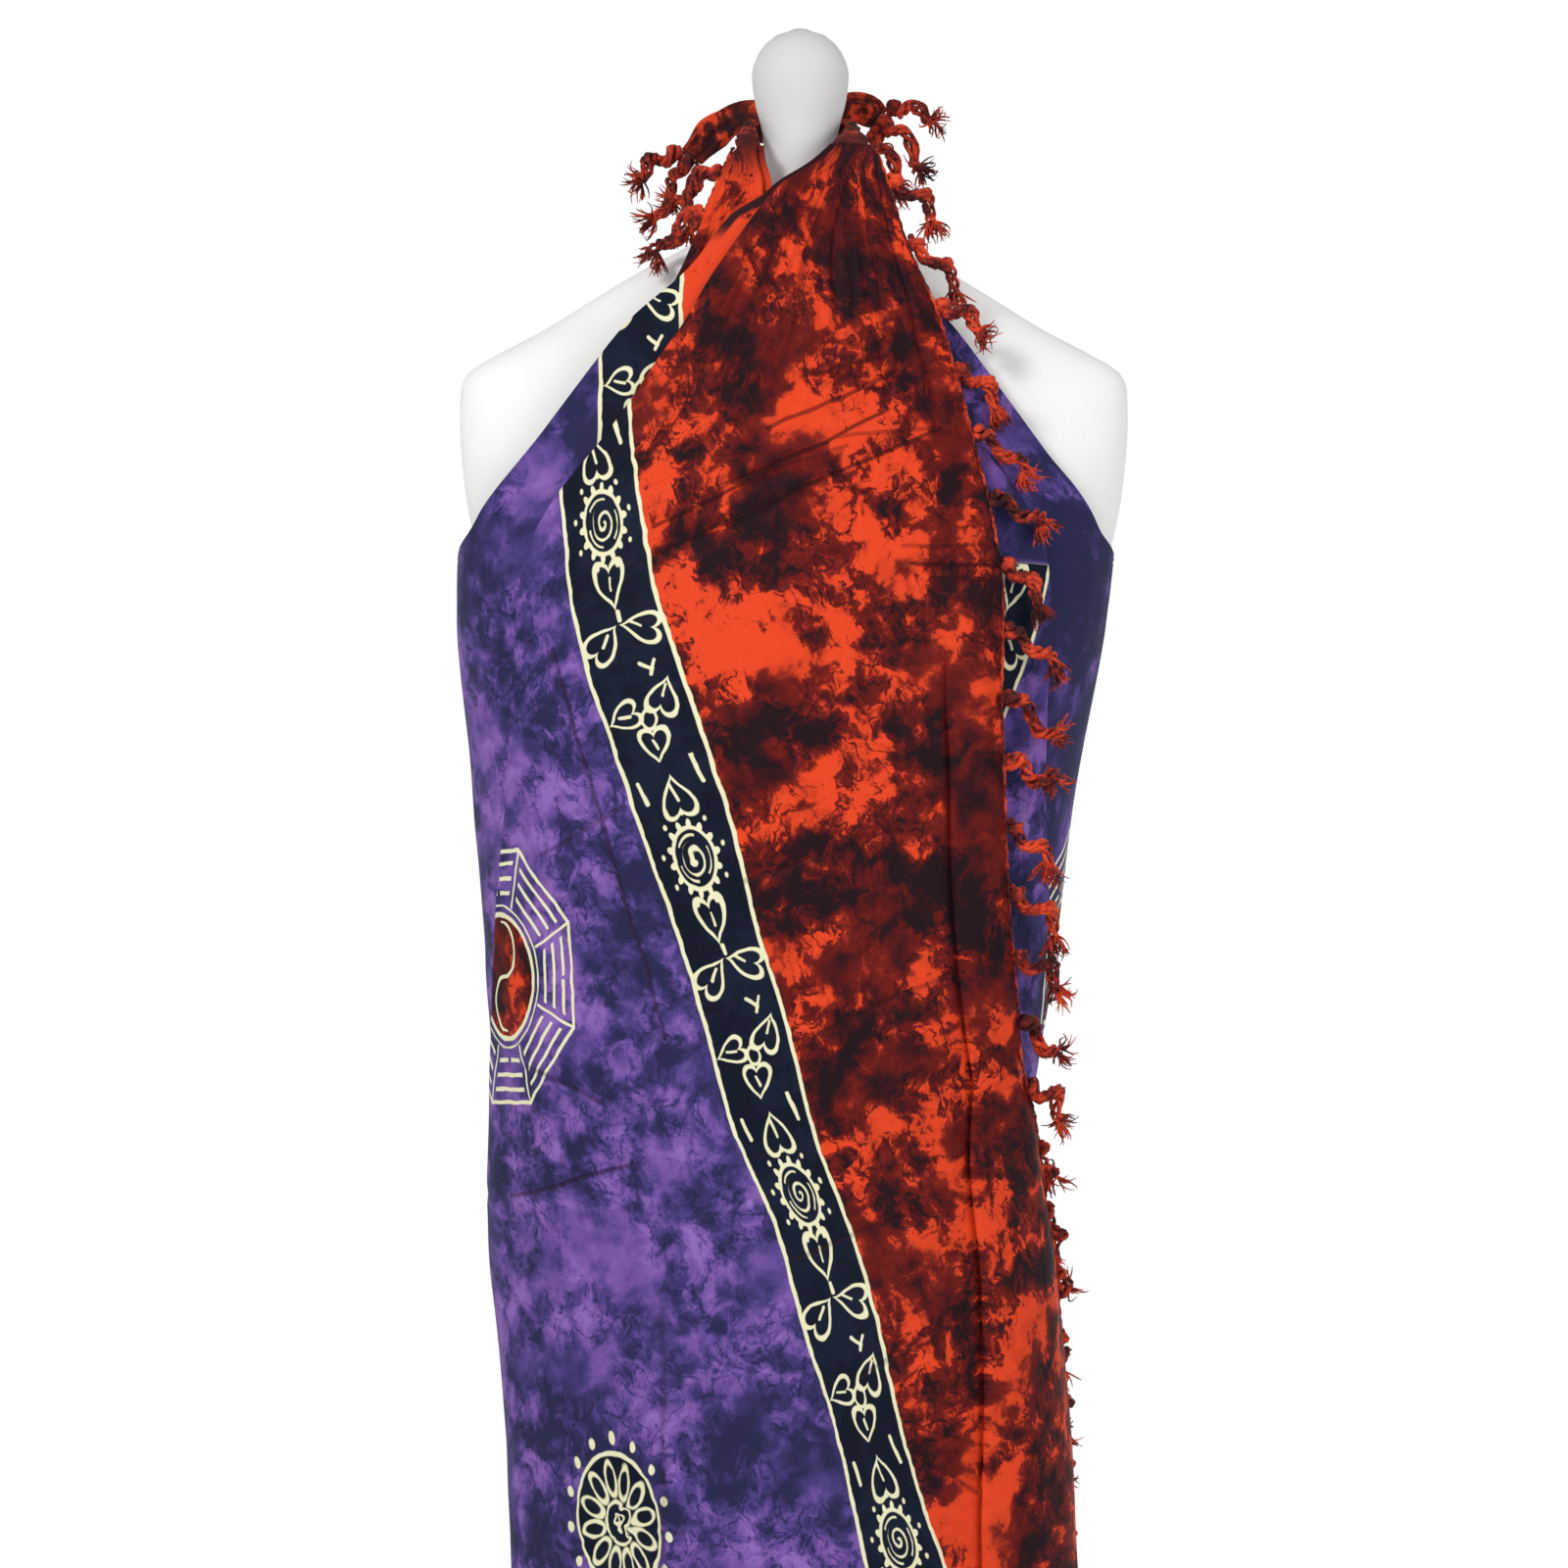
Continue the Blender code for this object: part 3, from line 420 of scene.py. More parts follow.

# Where the front's colour runs bright (+) or dark (-), dye tone and painted shade together: across, up,
# half sizes, strength
DYE_AND_SHADE_PATCHES = (
    (-0.030, 1.310, 0.020, 0.040, -0.55),
    (0.030, 1.385, 0.018, 0.030, -0.35),
    (0.040, 1.340, 0.018, 0.030, -0.45),
    (0.010, 1.350, 0.016, 0.036, 0.45),
    (0.060, 1.300, 0.020, 0.030, -0.25),
    (0.020, 1.262, 0.034, 0.020, 0.55),
    (-0.030, 1.230, 0.030, 0.022, 0.35),
    (-0.055, 1.215, 0.020, 0.020, 0.40),
    (0.060, 1.225, 0.030, 0.024, 0.35),
    (-0.010, 1.190, 0.034, 0.020, -0.30),
    (0.040, 1.180, 0.030, 0.020, 0.30),
    (-0.040, 1.130, 0.030, 0.026, 0.75),
    (0.034, 1.128, 0.040, 0.024, 0.55),
    (0.012, 1.092, 0.030, 0.018, -0.35),
    (-0.020, 1.055, 0.024, 0.020, -0.45),
    (0.020, 1.035, 0.026, 0.016, 0.55),
    (0.085, 1.060, 0.026, 0.050, -0.10),
    (0.020, 0.975, 0.050, 0.034, -0.80),
    (0.060, 0.925, 0.024, 0.018, 0.30),
    (0.070, 0.960, 0.040, 0.030, -0.45),
    (0.035, 0.880, 0.030, 0.030, -0.45),
    (0.060, 0.840, 0.030, 0.020, 0.20),
    (0.050, 0.790, 0.030, 0.020, 0.25),
    (0.060, 0.730, 0.034, 0.024, -0.35),
    (0.105, 0.820, 0.020, 0.080, 0.20),
    (0.125, 0.740, 0.018, 0.060, 0.20),
    (0.110, 0.640, 0.030, 0.030, 0.25),
    (0.160, 1.150, 0.030, 0.080, -0.90),
    (0.152, 0.930, 0.018, 0.090, -0.70),
    (0.100, 0.590, 0.030, 0.020, 0.20),
    (0.140, 0.640, 0.020, 0.040, -0.30),
    (-0.130, 1.240, 0.024, 0.030, -0.45),
    (-0.160, 1.130, 0.030, 0.040, -0.30),
    (-0.120, 1.080, 0.020, 0.040, 0.30),
    (-0.095, 0.980, 0.020, 0.060, -0.55),
    (-0.150, 0.960, 0.022, 0.030, 0.30),
    (-0.130, 0.890, 0.034, 0.024, 0.35),
    (-0.080, 0.880, 0.020, 0.030, -0.35),
    (-0.070, 0.780, 0.034, 0.024, 0.35),
    (-0.150, 0.740, 0.024, 0.030, -0.25),
    (-0.100, 0.705, 0.034, 0.020, 0.30),
    (-0.145, 0.620, 0.020, 0.030, -0.40),
    (-0.035, 0.640, 0.024, 0.034, -0.45),
)


def curve(table, column, at):
    """One column of a table at the heights in an array, on a curve that never overshoots."""
    rows = np.array(sorted((row[0], row[column]) for row in table))
    x, y = rows[:, 0], rows[:, 1]
    rate = np.diff(y) / np.diff(x)
    before, after = rate[:-1], rate[1:]
    total = np.where(before * after > 0.0, before + after, 1.0)
    slope = np.zeros(len(x))
    slope[1:-1] = np.where(before * after > 0.0, 2.0 * before * after / total, 0.0)
    at = np.clip(at, x[0], x[-1])
    i = np.clip(np.searchsorted(x, at, side="right") - 1, 0, len(x) - 2)
    span = x[i + 1] - x[i]
    t = (at - x[i]) / span
    return (
        y[i] * (1 + 2 * t) * (1 - t) ** 2
        + span * slope[i] * t * (1 - t) ** 2
        + y[i + 1] * t * t * (3 - 2 * t)
        + span * slope[i + 1] * t * t * (t - 1)
    )


def ease(low, high, at):
    """0 before low, 1 after high, smooth between them; low may be the larger."""
    t = np.clip((np.asarray(at, float) - low) / (high - low), 0.0, 1.0)
    return t * t * (3 - 2 * t)


def ripple(x, y, seed):
    """Smooth noise from -1 to 1 with cells one unit wide."""
    table = np.random.default_rng(seed).uniform(-1.0, 1.0, (64, 64))
    i, j = np.floor(x).astype(int), np.floor(y).astype(int)
    fx, fy = x - i, y - j
    fx = fx * fx * fx * (fx * (6 * fx - 15) + 10)
    fy = fy * fy * fy * (fy * (6 * fy - 15) + 10)
    a, b = table[i % 64, j % 64], table[(i + 1) % 64, j % 64]
    c, d = table[i % 64, (j + 1) % 64], table[(i + 1) % 64, (j + 1) % 64]
    return (a + (b - a) * fx) * (1 - fy) + (c + (d - c) * fx) * fy


def crease_lift(x, z):
    """The tension creases on the front: a narrow valley between two soft shoulders."""
    lift = np.zeros_like(x)
    for x0, z0, x1, z1, depth, width in CREASES:
        run, climb = x1 - x0, z1 - z0
        length = math.hypot(run, climb)
        along = ((x - x0) * run + (z - z0) * climb) / length
        off = ((x - x0) * climb - (z - z0) * run) / length
        off = off + CREASE_WAVER * np.sin(along * 90.0 + x0 * 700.0)
        inside = ease(-CREASE_RUN_OUT, CREASE_FULL, along)
        inside = inside * ease(length + CREASE_RUN_OUT, length - CREASE_FULL, along)
        t = off / width
        lift += depth * inside * (2.0 * t * t - 1.0) * np.exp(-t * t)
    return lift


def soft_lift(angle, height):
    """How far the folds and wrinkles stand out of the wrap, the same for every layer."""
    lift = np.zeros(np.broadcast(angle, height).shape)
    along = ease(1.17, HEM_BACK, height)
    for top, hem, rise, half_width, start, full in SOFT_FOLDS:
        middle = top + (hem - top) * along
        away = np.abs((angle - middle + 180.0) % 360.0 - 180.0) / half_width
        bump = 0.5 + 0.5 * np.cos(np.pi * np.clip(away, 0.0, 1.0))
        lift += rise * ease(start, full, height) * bump
    turn = np.radians(angle)
    reach = 0.17 * turn
    long_folds = ripple(reach / 0.045 + 1.5 * ripple(height * 3.0, reach * 2.0, 5), height / 0.40, 3)
    lift += LONG_FOLD_RISE * long_folds * ease(1.25, 0.80, height)
    broad = ripple(reach / 0.070, height / 0.085 + reach * 4.0, 7)
    lift += DENT_RISE * broad * ease(1.42, 1.30, height)
    fine = ripple(reach / 0.020 + height * 9.0, height / 0.034, 11)
    lift += WRINKLE_RISE * fine * ease(1.42, 1.30, height)
    return lift


def surface(angle, height, lift):
    """Points of the wrap, lifted off the section by so many metres."""
    angle, height, lift = np.broadcast_arrays(angle, height, lift)
    half_width = curve(WRAP_SECTIONS, HALF_WIDTH, height)
    turn = np.radians(angle)
    front = np.cos(turn) >= 0.0
    depth = np.where(
        front,
        curve(WRAP_SECTIONS, FRONT_DEPTH, height),
        curve(WRAP_SECTIONS, BACK_DEPTH, height),
    )
    centre = curve(WRAP_SECTIONS, CENTRE, height)
    across = centre - half_width * np.sin(turn)
    lift = lift + soft_lift(angle, height)
    lift = lift + np.where(front, crease_lift(across, height), 0.0)
    return np.stack(
        (
            centre - (half_width + lift) * np.sin(turn),
            -(depth + lift) * np.cos(turn),
            height,
        ),
        axis=-1,
    )


def path(column, height, side=1.0):
    """A panel's edge or fold at each height; side is -1 for the under panel and what it turns into."""
    angle = curve(PANEL_PATHS, column, height)
    if side < 0 and column != FRINGE:
        angle = angle + curve(UNDER_SHIFT, 1, height)
    return angle


def dye_and_shade_patches(points):
    """How bright the dye runs at each point of the front; some of the dark patches are painted shade."""
    x, z = points[..., 0], points[..., 2]
    glow = np.zeros(x.shape)
    for across, up, half_width, half_height, strength in DYE_AND_SHADE_PATCHES:
        away = ((x - across) / half_width) ** 2 + ((z - up) / half_height) ** 2
        glow += strength * np.exp(-0.9 * away)
    return np.where(points[..., 1] < 0.0, glow, 0.0)


def ellipse_arc(angle, width=1.0):
    """The way round an ellipse of that half width, from its front, at the wrap's usual depth."""
    turns = np.radians(np.linspace(-180.0, 540.0, 2881))
    speed = np.hypot(np.cos(turns), DEPTH_SHARE * np.sin(turns))
    way = np.concatenate(([0.0], np.cumsum(0.5 * (speed[1:] + speed[:-1]) * np.diff(turns))))
    way -= np.interp(0.0, turns, way)
    return width * np.interp(np.radians(angle), turns, way)


def field_u(angle):
    """The place on the cut of a point beside the panels, by its angle."""
    return BAND_END + ellipse_arc(angle, REFERENCE_WIDTH) - ellipse_arc(FIELD_ANGLE, REFERENCE_WIDTH)


CUT_LENGTH = 2.0 * float(field_u(180.0))


def panel_uv(angle, height):
    """Where a point of the front panel lies on the cut."""
    width = curve(WRAP_SECTIONS, HALF_WIDTH, height) + LAYER_FRONT
    way = ellipse_arc(angle, width)
    right = ellipse_arc(curve(BAND_RIGHT, 1, height), width)
    left = ellipse_arc(curve(BAND_LEFT, 1, height), width)
    press = curve(NECK_PRESS, 1, height)
    inside = (way - right) / (left - right)
    u = np.where(
        way < right,
        BAND_START + PANEL_TAKE_UP * press * (way - right),
        np.where(
            way > left,
            BAND_END + PANEL_TAKE_UP * (way - left),
            BAND_START + (BAND_END - BAND_START) * inside,
        ),
    )
    tilt = math.radians(BAND_TILT)
    v = -way * math.sin(tilt) + (PANEL_CUT_TOP - height) * math.cos(tilt)
    return np.stack((u, v), axis=-1)


def beside_uv(angle, height, across, shift):
    """Where a point beside a panel lies on the cut: along the strip, then round the side."""
    strip = BAND_START + shift + STRIP_TAKE_UP * (across - STRIP_INNER)
    side = field_u(angle)
    share = ease(1.26, 1.16, height)
    return np.stack((strip + (side - strip) * share, CUT_TOP - height), axis=-1)


def mesh_from(bm, name):
    """The mesh of a finished bmesh."""
    mesh = bpy.data.meshes.new(name)
    bm.to_mesh(mesh)
    bm.free()
    return mesh


def set_out(name, data):
    """An object of a mesh, curve, lamp or camera, linked to the scene."""
    made = bpy.data.objects.new(name, data)
    bpy.context.scene.collection.objects.link(made)
    return made


def grid_mesh(name, points, uv=None, fields=None):
    """A mesh of a grid of points, (rows, columns, 3), with its UV map and point values."""
    rows, columns = points.shape[:2]
    bm = bmesh.new()
    bmesh.ops.create_grid(bm, x_segments=columns - 1, y_segments=rows - 1, size=0.5)
    mesh = mesh_from(bm, name)
    flat = np.empty(len(mesh.vertices) * 3)
    mesh.vertices.foreach_get("co", flat)
    flat = flat.reshape(-1, 3)
    column = np.rint((flat[:, 0] + 0.5) * (columns - 1)).astype(int)
    row = np.rint((flat[:, 1] + 0.5) * (rows - 1)).astype(int)
    mesh.vertices.foreach_set("co", points[row, column].ravel())
    if uv is not None:
        corners = np.empty(len(mesh.loops), dtype=np.int32)
        mesh.loops.foreach_get("vertex_index", corners)
        layer = mesh.uv_layers.new(name="UVMap")
        layer.uv.foreach_set("vector", uv[row, column][corners].ravel())
    for key, values in (fields or {}).items():
        layer = mesh.attributes.new(key, "FLOAT", "POINT")
        layer.data.foreach_set("value", values[row, column].ravel())
    mesh.update()
    return mesh


def joined(name, meshes, weld=2e-5, outward=False):
    """One mesh of several, with the points that meet welded."""
    bm = bmesh.new()
    for mesh in meshes:
        bm.from_mesh(mesh)
    bmesh.ops.remove_doubles(bm, verts=bm.verts, dist=weld)
    bmesh.ops.dissolve_degenerate(bm, edges=bm.edges, dist=1e-7)
    if outward:
        bmesh.ops.recalc_face_normals(bm, faces=bm.faces)
    whole = mesh_from(bm, name)
    for mesh in meshes:
        bpy.data.meshes.remove(mesh)
    return whole


def add_piece(name, mesh, finish, nodes, smooth=None):
    """Links a mesh as a finished piece that stands for its CAD nodes."""
    mesh.shade_smooth()
    if smooth is not None:
        mesh.set_sharp_from_angle(angle=math.radians(smooth))
    mesh.materials.clear()
    mesh.materials.append(finish)
    piece = set_out(name, mesh)
    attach(piece, "root")
    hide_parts(*nodes)
    return piece


def thicken(piece, thickness):
    """Gives a sheet of cloth its wall, half to each side."""
    wall = piece.modifiers.new("wall", "SOLIDIFY")
    wall.thickness = thickness
    wall.offset = 0.0


class Wire:
    """A socket of a finish's nodes, which sums can be written with."""

    def __init__(self, finish, socket):
        self.finish, self.socket = finish, socket

    def __add__(self, other):
        return self.finish.sum("ADD", self, other)

    def __sub__(self, other):
        return self.finish.sum("SUBTRACT", self, other)

    def __rsub__(self, other):
        return self.finish.sum("SUBTRACT", other, self)

    def __mul__(self, other):
        return self.finish.sum("MULTIPLY", self, other)

    def __abs__(self):
        return self.finish.sum("ABSOLUTE", self)

    __radd__ = __add__
    __rmul__ = __mul__


class Finish:
    """One material and its nodes."""

    def __init__(self, name, roughness=0.6, metallic=0.0, sheen=0.0, gloss=0.5):
        self.material = bpy.data.materials.new(name)
        self.material.use_nodes = True
        self.tree = self.material.node_tree
        self.shader = self.tree.nodes["Principled BSDF"]
        self.shader.inputs["Roughness"].default_value = roughness
        self.shader.inputs["Metallic"].default_value = metallic
        self.shader.inputs["Sheen Weight"].default_value = sheen
        self.shader.inputs["Specular IOR Level"].default_value = gloss

    def node(self, kind, settings, sockets):
        """Any node: its settings first, then the values or links of its sockets."""
        made = self.tree.nodes.new(kind)
        for key, value in settings.items():
            if key == "stops":
                ramp = made.color_ramp
                while len(ramp.elements) < len(value):
                    ramp.elements.new(0.5)
                for element, (position, colour) in zip(ramp.elements, value):
                    element.position = position
                    element.color = (*colour, 1.0)
            else:
                setattr(made, key, value)
        for key, value in sockets.items():
            if isinstance(value, Wire):
                self.tree.links.new(value.socket, made.inputs[key])
            else:
                made.inputs[key].default_value = value
        return made

    def take(self, kind, settings, sockets, output=0):
        return Wire(self, self.node(kind, settings, sockets).outputs[output])

    def sum(self, operation, *terms, clamp=False):
        settings = {"operation": operation, "use_clamp": clamp}
        return self.take("ShaderNodeMath", settings, dict(enumerate(terms)))

    def vector(self, operation, *terms):
        number = operation in ("LENGTH", "DOT_PRODUCT")
        settings = {"operation": operation}
        return self.take("ShaderNodeVectorMath", settings, dict(enumerate(terms)), int(number))

    def scaled(self, vector, factor):
        settings = {"operation": "SCALE"}
        return self.take("ShaderNodeVectorMath", settings, {0: vector, "Scale": factor})

    def chained(self, operation, terms, *more):
        """One operation carried through several terms."""
        found = terms[0]
        for term in terms[1:]:
            found = self.sum(operation, found, term, *more)
        return found

    def least(self, *terms):
        return self.chained("MINIMUM", terms)

    def most(self, *terms):
        return self.chained("MAXIMUM", terms)

    def step(self, value, start, end):
        """0 before start, 1 after end, smooth between them; start may be the larger."""
        settings = {"interpolation_type": "SMOOTHSTEP"}
        sockets = {"Value": value, "From Min": start, "From Max": end}
        return self.take("ShaderNodeMapRange", settings, sockets)

    def noise(self, at, scale, detail=3.0, rough=0.55, warp=0.0, output=0):
        sockets = {
            "Vector": at, "Scale": scale, "Detail": detail, "Roughness": rough, "Distortion": warp,
        }
        return self.take("ShaderNodeTexNoise", {"noise_dimensions": "3D"}, sockets, output)

    def drift(self, at, scale, detail=2.0, rough=0.5):
        """A wandering shift with no lean to any side, for lines and pools that a hand made."""
        return self.vector("SUBTRACT", self.noise(at, scale, detail, rough, output=1), (0.5, 0.5, 0.5))

    def ramp(self, value, *stops):
        return self.take("ShaderNodeValToRGB", {"stops": stops}, {"Fac": value})

    def mix(self, factor, first, second):
        """Two colours mixed."""
        sockets = {0: factor, 6: first, 7: second}
        return self.take("ShaderNodeMix", {"data_type": "RGBA"}, sockets, 2)

    def mapping(self, at, place, turn=0.0, size=(1.0, 1.0, 1.0)):
        """Coordinates with their origin moved to a place, turned and measured in a size."""
        sockets = {
            "Vector": at, "Location": place, "Rotation": (0.0, 0.0, math.radians(turn)), "Scale": size,
        }
        return self.take("ShaderNodeMapping", {"vector_type": "TEXTURE"}, sockets)

    def split(self, vector):
        made = self.node("ShaderNodeSeparateXYZ", {}, {0: vector})
        return [Wire(self, output) for output in made.outputs]

    def combine(self, x, y, z=0.0):
        return self.take("ShaderNodeCombineXYZ", {}, {0: x, 1: y, 2: z})

    def uv(self):
        return self.take("ShaderNodeUVMap", {"uv_map": "UVMap"}, {})

    def place(self):
        return self.take("ShaderNodeTexCoord", {}, {}, "Object")

    def value_of(self, name):
        return self.take("ShaderNodeAttribute", {"attribute_name": name}, {}, "Fac")

    def bump(self, height, strength, distance, under=None):
        """Relief, laid over another relief where one is given."""
        sockets = {"Height": height, "Strength": strength, "Distance": distance}
        if under is not None:
            sockets["Normal"] = under
        return self.take("ShaderNodeBump", {}, sockets)

    def paint(self, **sockets):
        """Feeds the shader's own sockets, named with underscores for spaces."""
        for key, value in sockets.items():
            socket = self.shader.inputs[key.replace("_", " ")]
            if isinstance(value, Wire):
                self.tree.links.new(value.socket, socket)
            else:
                socket.default_value = value
        return self.material


def stroke(f, at, start, end, half):
    """How far a point is outside a straight brush stroke."""
    run = (end[0] - start[0], end[1] - start[1], 0.0)
    away = f.vector("SUBTRACT", at, (start[0], start[1], 0.0))
    along = f.sum(
        "MULTIPLY", f.vector("DOT_PRODUCT", away, run), 1.0 / (run[0] ** 2 + run[1] ** 2), clamp=True
    )
    return f.vector("LENGTH", f.vector("SUBTRACT", away, f.scaled(run, along))) - half


def heart(f, at, middle, turn, half_width, half_height, half):
    """How far a point is outside a heart's painted outline; its point is down when unturned."""
    local = f.mapping(at, (*middle, 0.0), turn, (half_width, half_height, 1.0))
    x, y, _ = f.split(local)
    x = abs(x)
    lobe = 0.28 - 1.28 * y - f.sum("SQRT", x + 0.012)
    reach = f.vector("LENGTH", f.combine(x, lobe))
    return abs(reach - 1.0) * (0.9 * half_width) - half


def oval(f, at, middle, turn, half_width, half_height, half):
    """How far a point is outside an oval's painted outline."""
    local = f.mapping(at, (*middle, 0.0), turn, (half_width, half_height, 1.0))
    return abs(f.vector("LENGTH", local) - 1.0) * half_width - half


def sectors(f, bearing, count):
    """The bearing inside one of so many equal sectors, zero on its middle line."""
    turn = f.sum("FRACT", bearing * (count / (2 * math.pi)) + 0.5)
    return (turn - 0.5) * (2 * math.pi / count)


def sun_motif(f, at, half_width, half_height):
    """A sun: a toothed ring with beads round it, broken arcs and a spiral inside."""
    local = f.mapping(at, (0.0, 0.0, 0.0), 0.0, (half_width, half_height, 1.0))
    x, y, _ = f.split(local)
    r = f.vector("LENGTH", local)
    bearing = f.sum("ARCTAN2", y, x)
    teeth = f.sum("SQRT", f.most(f.sum("COSINE", bearing * 14.0 + 0.7), 0.0)) * 0.20 + 0.98
    ring = f.most(0.85 - r, r - teeth) * half_width
    beads = sectors(f, bearing + 0.15, 9)
    bead = (f.vector("LENGTH", f.combine(r - 1.38, beads * 1.38)) - 0.085) * half_width
    broken = f.sum("SINE", bearing * 3.0 + 0.8)
    arcs = f.most(abs(r - 0.70) * half_width - 0.40, (-0.35 - broken) * 6.0)
    coil = f.sum("FRACT", r * 3.3 - bearing * (0.5 / math.pi) + 0.15)
    spiral = f.most(abs(coil - 0.5) * (half_width / 3.3) - 0.62, (r - 0.54) * half_width)
    return f.least(ring, bead, arcs, spiral)


def waxed(f, *lines):
    """Painted lines run together where they meet, as wax does."""
    return f.chained("SMOOTH_MIN", lines, WAX_BLEND_MM)


def band_motifs(f, at, steady):
    """The painted motifs of one repeat of the band, in millimetres from the sun's middle."""
    return waxed(
        f,
        sun_motif(f, steady, 13.5, 20.5),
        heart(f, at, (0.7, -39.0), 180.0, 9.5, 13.0, 1.0),
        stroke(f, at, (-1.0, -46.0), (1.0, -36.0), 0.8),
        heart(f, at, (-0.5, 38.5), 0.0, 9.2, 14.5, 1.15),
        stroke(f, at, (-0.2, 33.0), (-0.2, 41.0), 0.7),
        heart(f, at, (11.0, 66.5), 112.0, 9.0, 12.0, 1.1),
        stroke(f, at, (6.5, 62.5), (12.0, 66.5), 0.8),
        heart(f, at, (-11.5, 69.5), -128.0, 9.5, 12.5, 1.1),
        stroke(f, at, (-13.5, 72.5), (-8.5, 66.5), 0.9),
        stroke(f, at, (0.6, 54.0), (0.8, 59.5), 1.2),
        stroke(f, at, (4.5, 88.5), (10.5, 93.5), 1.1),
        stroke(f, at, (13.5, 88.5), (9.0, 96.5), 1.0),
        heart(f, at, (-15.0, 116.5), 78.0, 8.0, 9.6, 1.0),
        stroke(f, at, (-17.0, 115.5), (-10.5, 116.5), 0.8),
        heart(f, at, (12.5, 110.0), -150.0, 9.0, 11.5, 1.1),
        stroke(f, at, (15.5, 104.5), (12.0, 111.0), 0.8),
        heart(f, at, (-1.5, 138.5), 6.0, 8.6, 10.5, 1.1),
        stroke(f, at, (-2.0, 134.5), (-0.5, 140.5), 0.8),
        oval(f, at, (0.0, 121.5), 8.0, 4.2, 6.2, 0.7),
        stroke(f, at, (15.5, -60.0), (18.5, -43.0), 1.3),
        stroke(f, at, (-19.0, -52.0), (-17.5, -39.0), 1.2),
    )


def octagon_medallion(f, at):
    """An eight-sided medallion: spokes, broken and whole bars, rings and an S in its middle disc."""
    x, y, _ = f.split(at)
    r = f.vector("LENGTH", at)
    bearing = f.sum("ARCTAN2", y, x)
    inside = sectors(f, bearing, 8)
    out = r * f.sum("COSINE", inside)
    aside = abs(r * f.sum("SINE", inside))
    outline = abs(out - OCTAGON_MM) - 1.2
    spoke = f.most(out * OCTAGON_CORNER - aside - 1.0, 42.0 - out, out - OCTAGON_MM)
    bars = (out - 46.5) * (1.0 / OCTAGON_BAR_MM)
    level = f.sum("FLOOR", bars)
    which = f.sum("ROUND", (bearing - inside) * (4.0 / math.pi))
    draw = {"Vector": f.combine(which, level)}
    toss = f.take("ShaderNodeTexWhiteNoise", {"noise_dimensions": "2D"}, draw)
    bar = abs(f.sum("FRACT", bars) - 0.5) * OCTAGON_BAR_MM - 1.25
    gap = 2.4 - aside - f.sum("GREATER_THAN", toss, 0.5) * 20.0
    bar = f.most(bar, aside - out * OCTAGON_CORNER + 5.0, gap, 46.5 - out, out - 73.5)
    rings = f.least(abs(r - 38.0) - 1.5, abs(r - 43.5) - 0.7)
    side = f.sum("SIGN", x)
    half_turn = f.vector("LENGTH", f.combine(x, y - side * 17.0))
    swirl = f.most(abs(half_turn - 17.0) - 1.1, r - 34.0)
    return f.least(outline, spoke, bar, rings, swirl), r


def wheel_medallion(f, at, half_width, half_height):
    """A sun wheel: petals round a hub with a cross, a ring, and beads outside."""
    local = f.mapping(at, (0.0, 0.0, 0.0), 0.0, (half_width, half_height, 1.0))
    x, y, _ = f.split(local)
    r = f.vector("LENGTH", local)
    bearing = f.sum("ARCTAN2", y, x)
    ring = abs(r - 0.95) * half_width - 0.9
    turn = sectors(f, bearing, 12)
    across = f.sum("SINE", turn) * r
    petal = f.vector("LENGTH", f.combine((r - 0.61) * 4.4, across * 9.0)) - 1.0
    petal = abs(petal) * 2.9 - 0.55
    hub = f.least(abs(r - 0.30), abs(r - 0.13)) * half_width - 0.65
    cross = f.most(f.least(abs(x), abs(y)) * half_width - 0.5, (r - 0.13) * half_width)
    beads = sectors(f, bearing + 0.1, 15)
    bead = (f.vector("LENGTH", f.combine((r - 1.16) * 0.8, beads * 1.16)) - 0.070) * half_width
    return f.least(ring, petal, hub, cross, bead), r


def dye_waves(f, uv, glow):
    """How bright the dye came out: flat pools with crisp shores, and the marks of crumpled cloth; the
    per-point field added to it holds dye tone and painted shade.
    """
    moved = uv
    for scale, reach in ((15.0, 0.026), (75.0, 0.012), (230.0, 0.0030)):
        moved = f.vector("ADD", moved, f.scaled(f.drift(uv, scale), reach))
    pools = f.noise(moved, 15.0, 3.0, 0.55)
    shores = f.noise(moved, 52.0, 4.0, 0.58)
    crumpled = f.step(f.noise(uv, 17.0, 2.0), 0.36, 0.54)
    creased = f.vector("MULTIPLY", moved, (1.0, 0.62, 1.0))
    patch, _, _ = f.split(f.take("ShaderNodeTexVoronoi", {}, {"Vector": creased, "Scale": 95.0}, "Color"))
    worms = f.step(abs(f.noise(creased, 50.0, 2.0, 0.5, 1.5) - 0.5), 0.042, 0.0)
    threads = f.step(abs(f.noise(creased, 120.0, 2.0, 0.6, 0.9) - 0.5), 0.035, 0.0)
    value = (pools - 0.5) * 1.9 + (shores - 0.5) * (1.10 + crumpled * 1.10)
    value = value + ((patch - 0.5) * 0.24 - worms * 0.28 - threads * 0.14) * crumpled
    return value + glow * 0.38 + 0.475


def crease_marks(f):
    """How deep a point lies in the sharp line of a crease of the front, from 0 to 1; it sets the crease's
    relief and its painted shade.
    """
    at = f.place()
    x, y, z = f.split(at)
    wobble = f.scaled(f.drift(at, 22.0), 0.006)
    flat = f.vector("ADD", f.combine(x, z), f.vector("MULTIPLY", wobble, (1.0, 1.0, 0.0)))
    mark = 0.0
    for x0, z0, x1, z1, depth, width in CREASES:
        away = stroke(f, flat, (x0, z0), (x1, z1), 0.0)
        line = f.step(away, 0.30 * width, 0.04 * width) * (depth / DEEPEST_CREASE)
        mark = f.most(mark, line) if isinstance(mark, Wire) else line
    return mark * f.step(y, 0.0, -0.02)


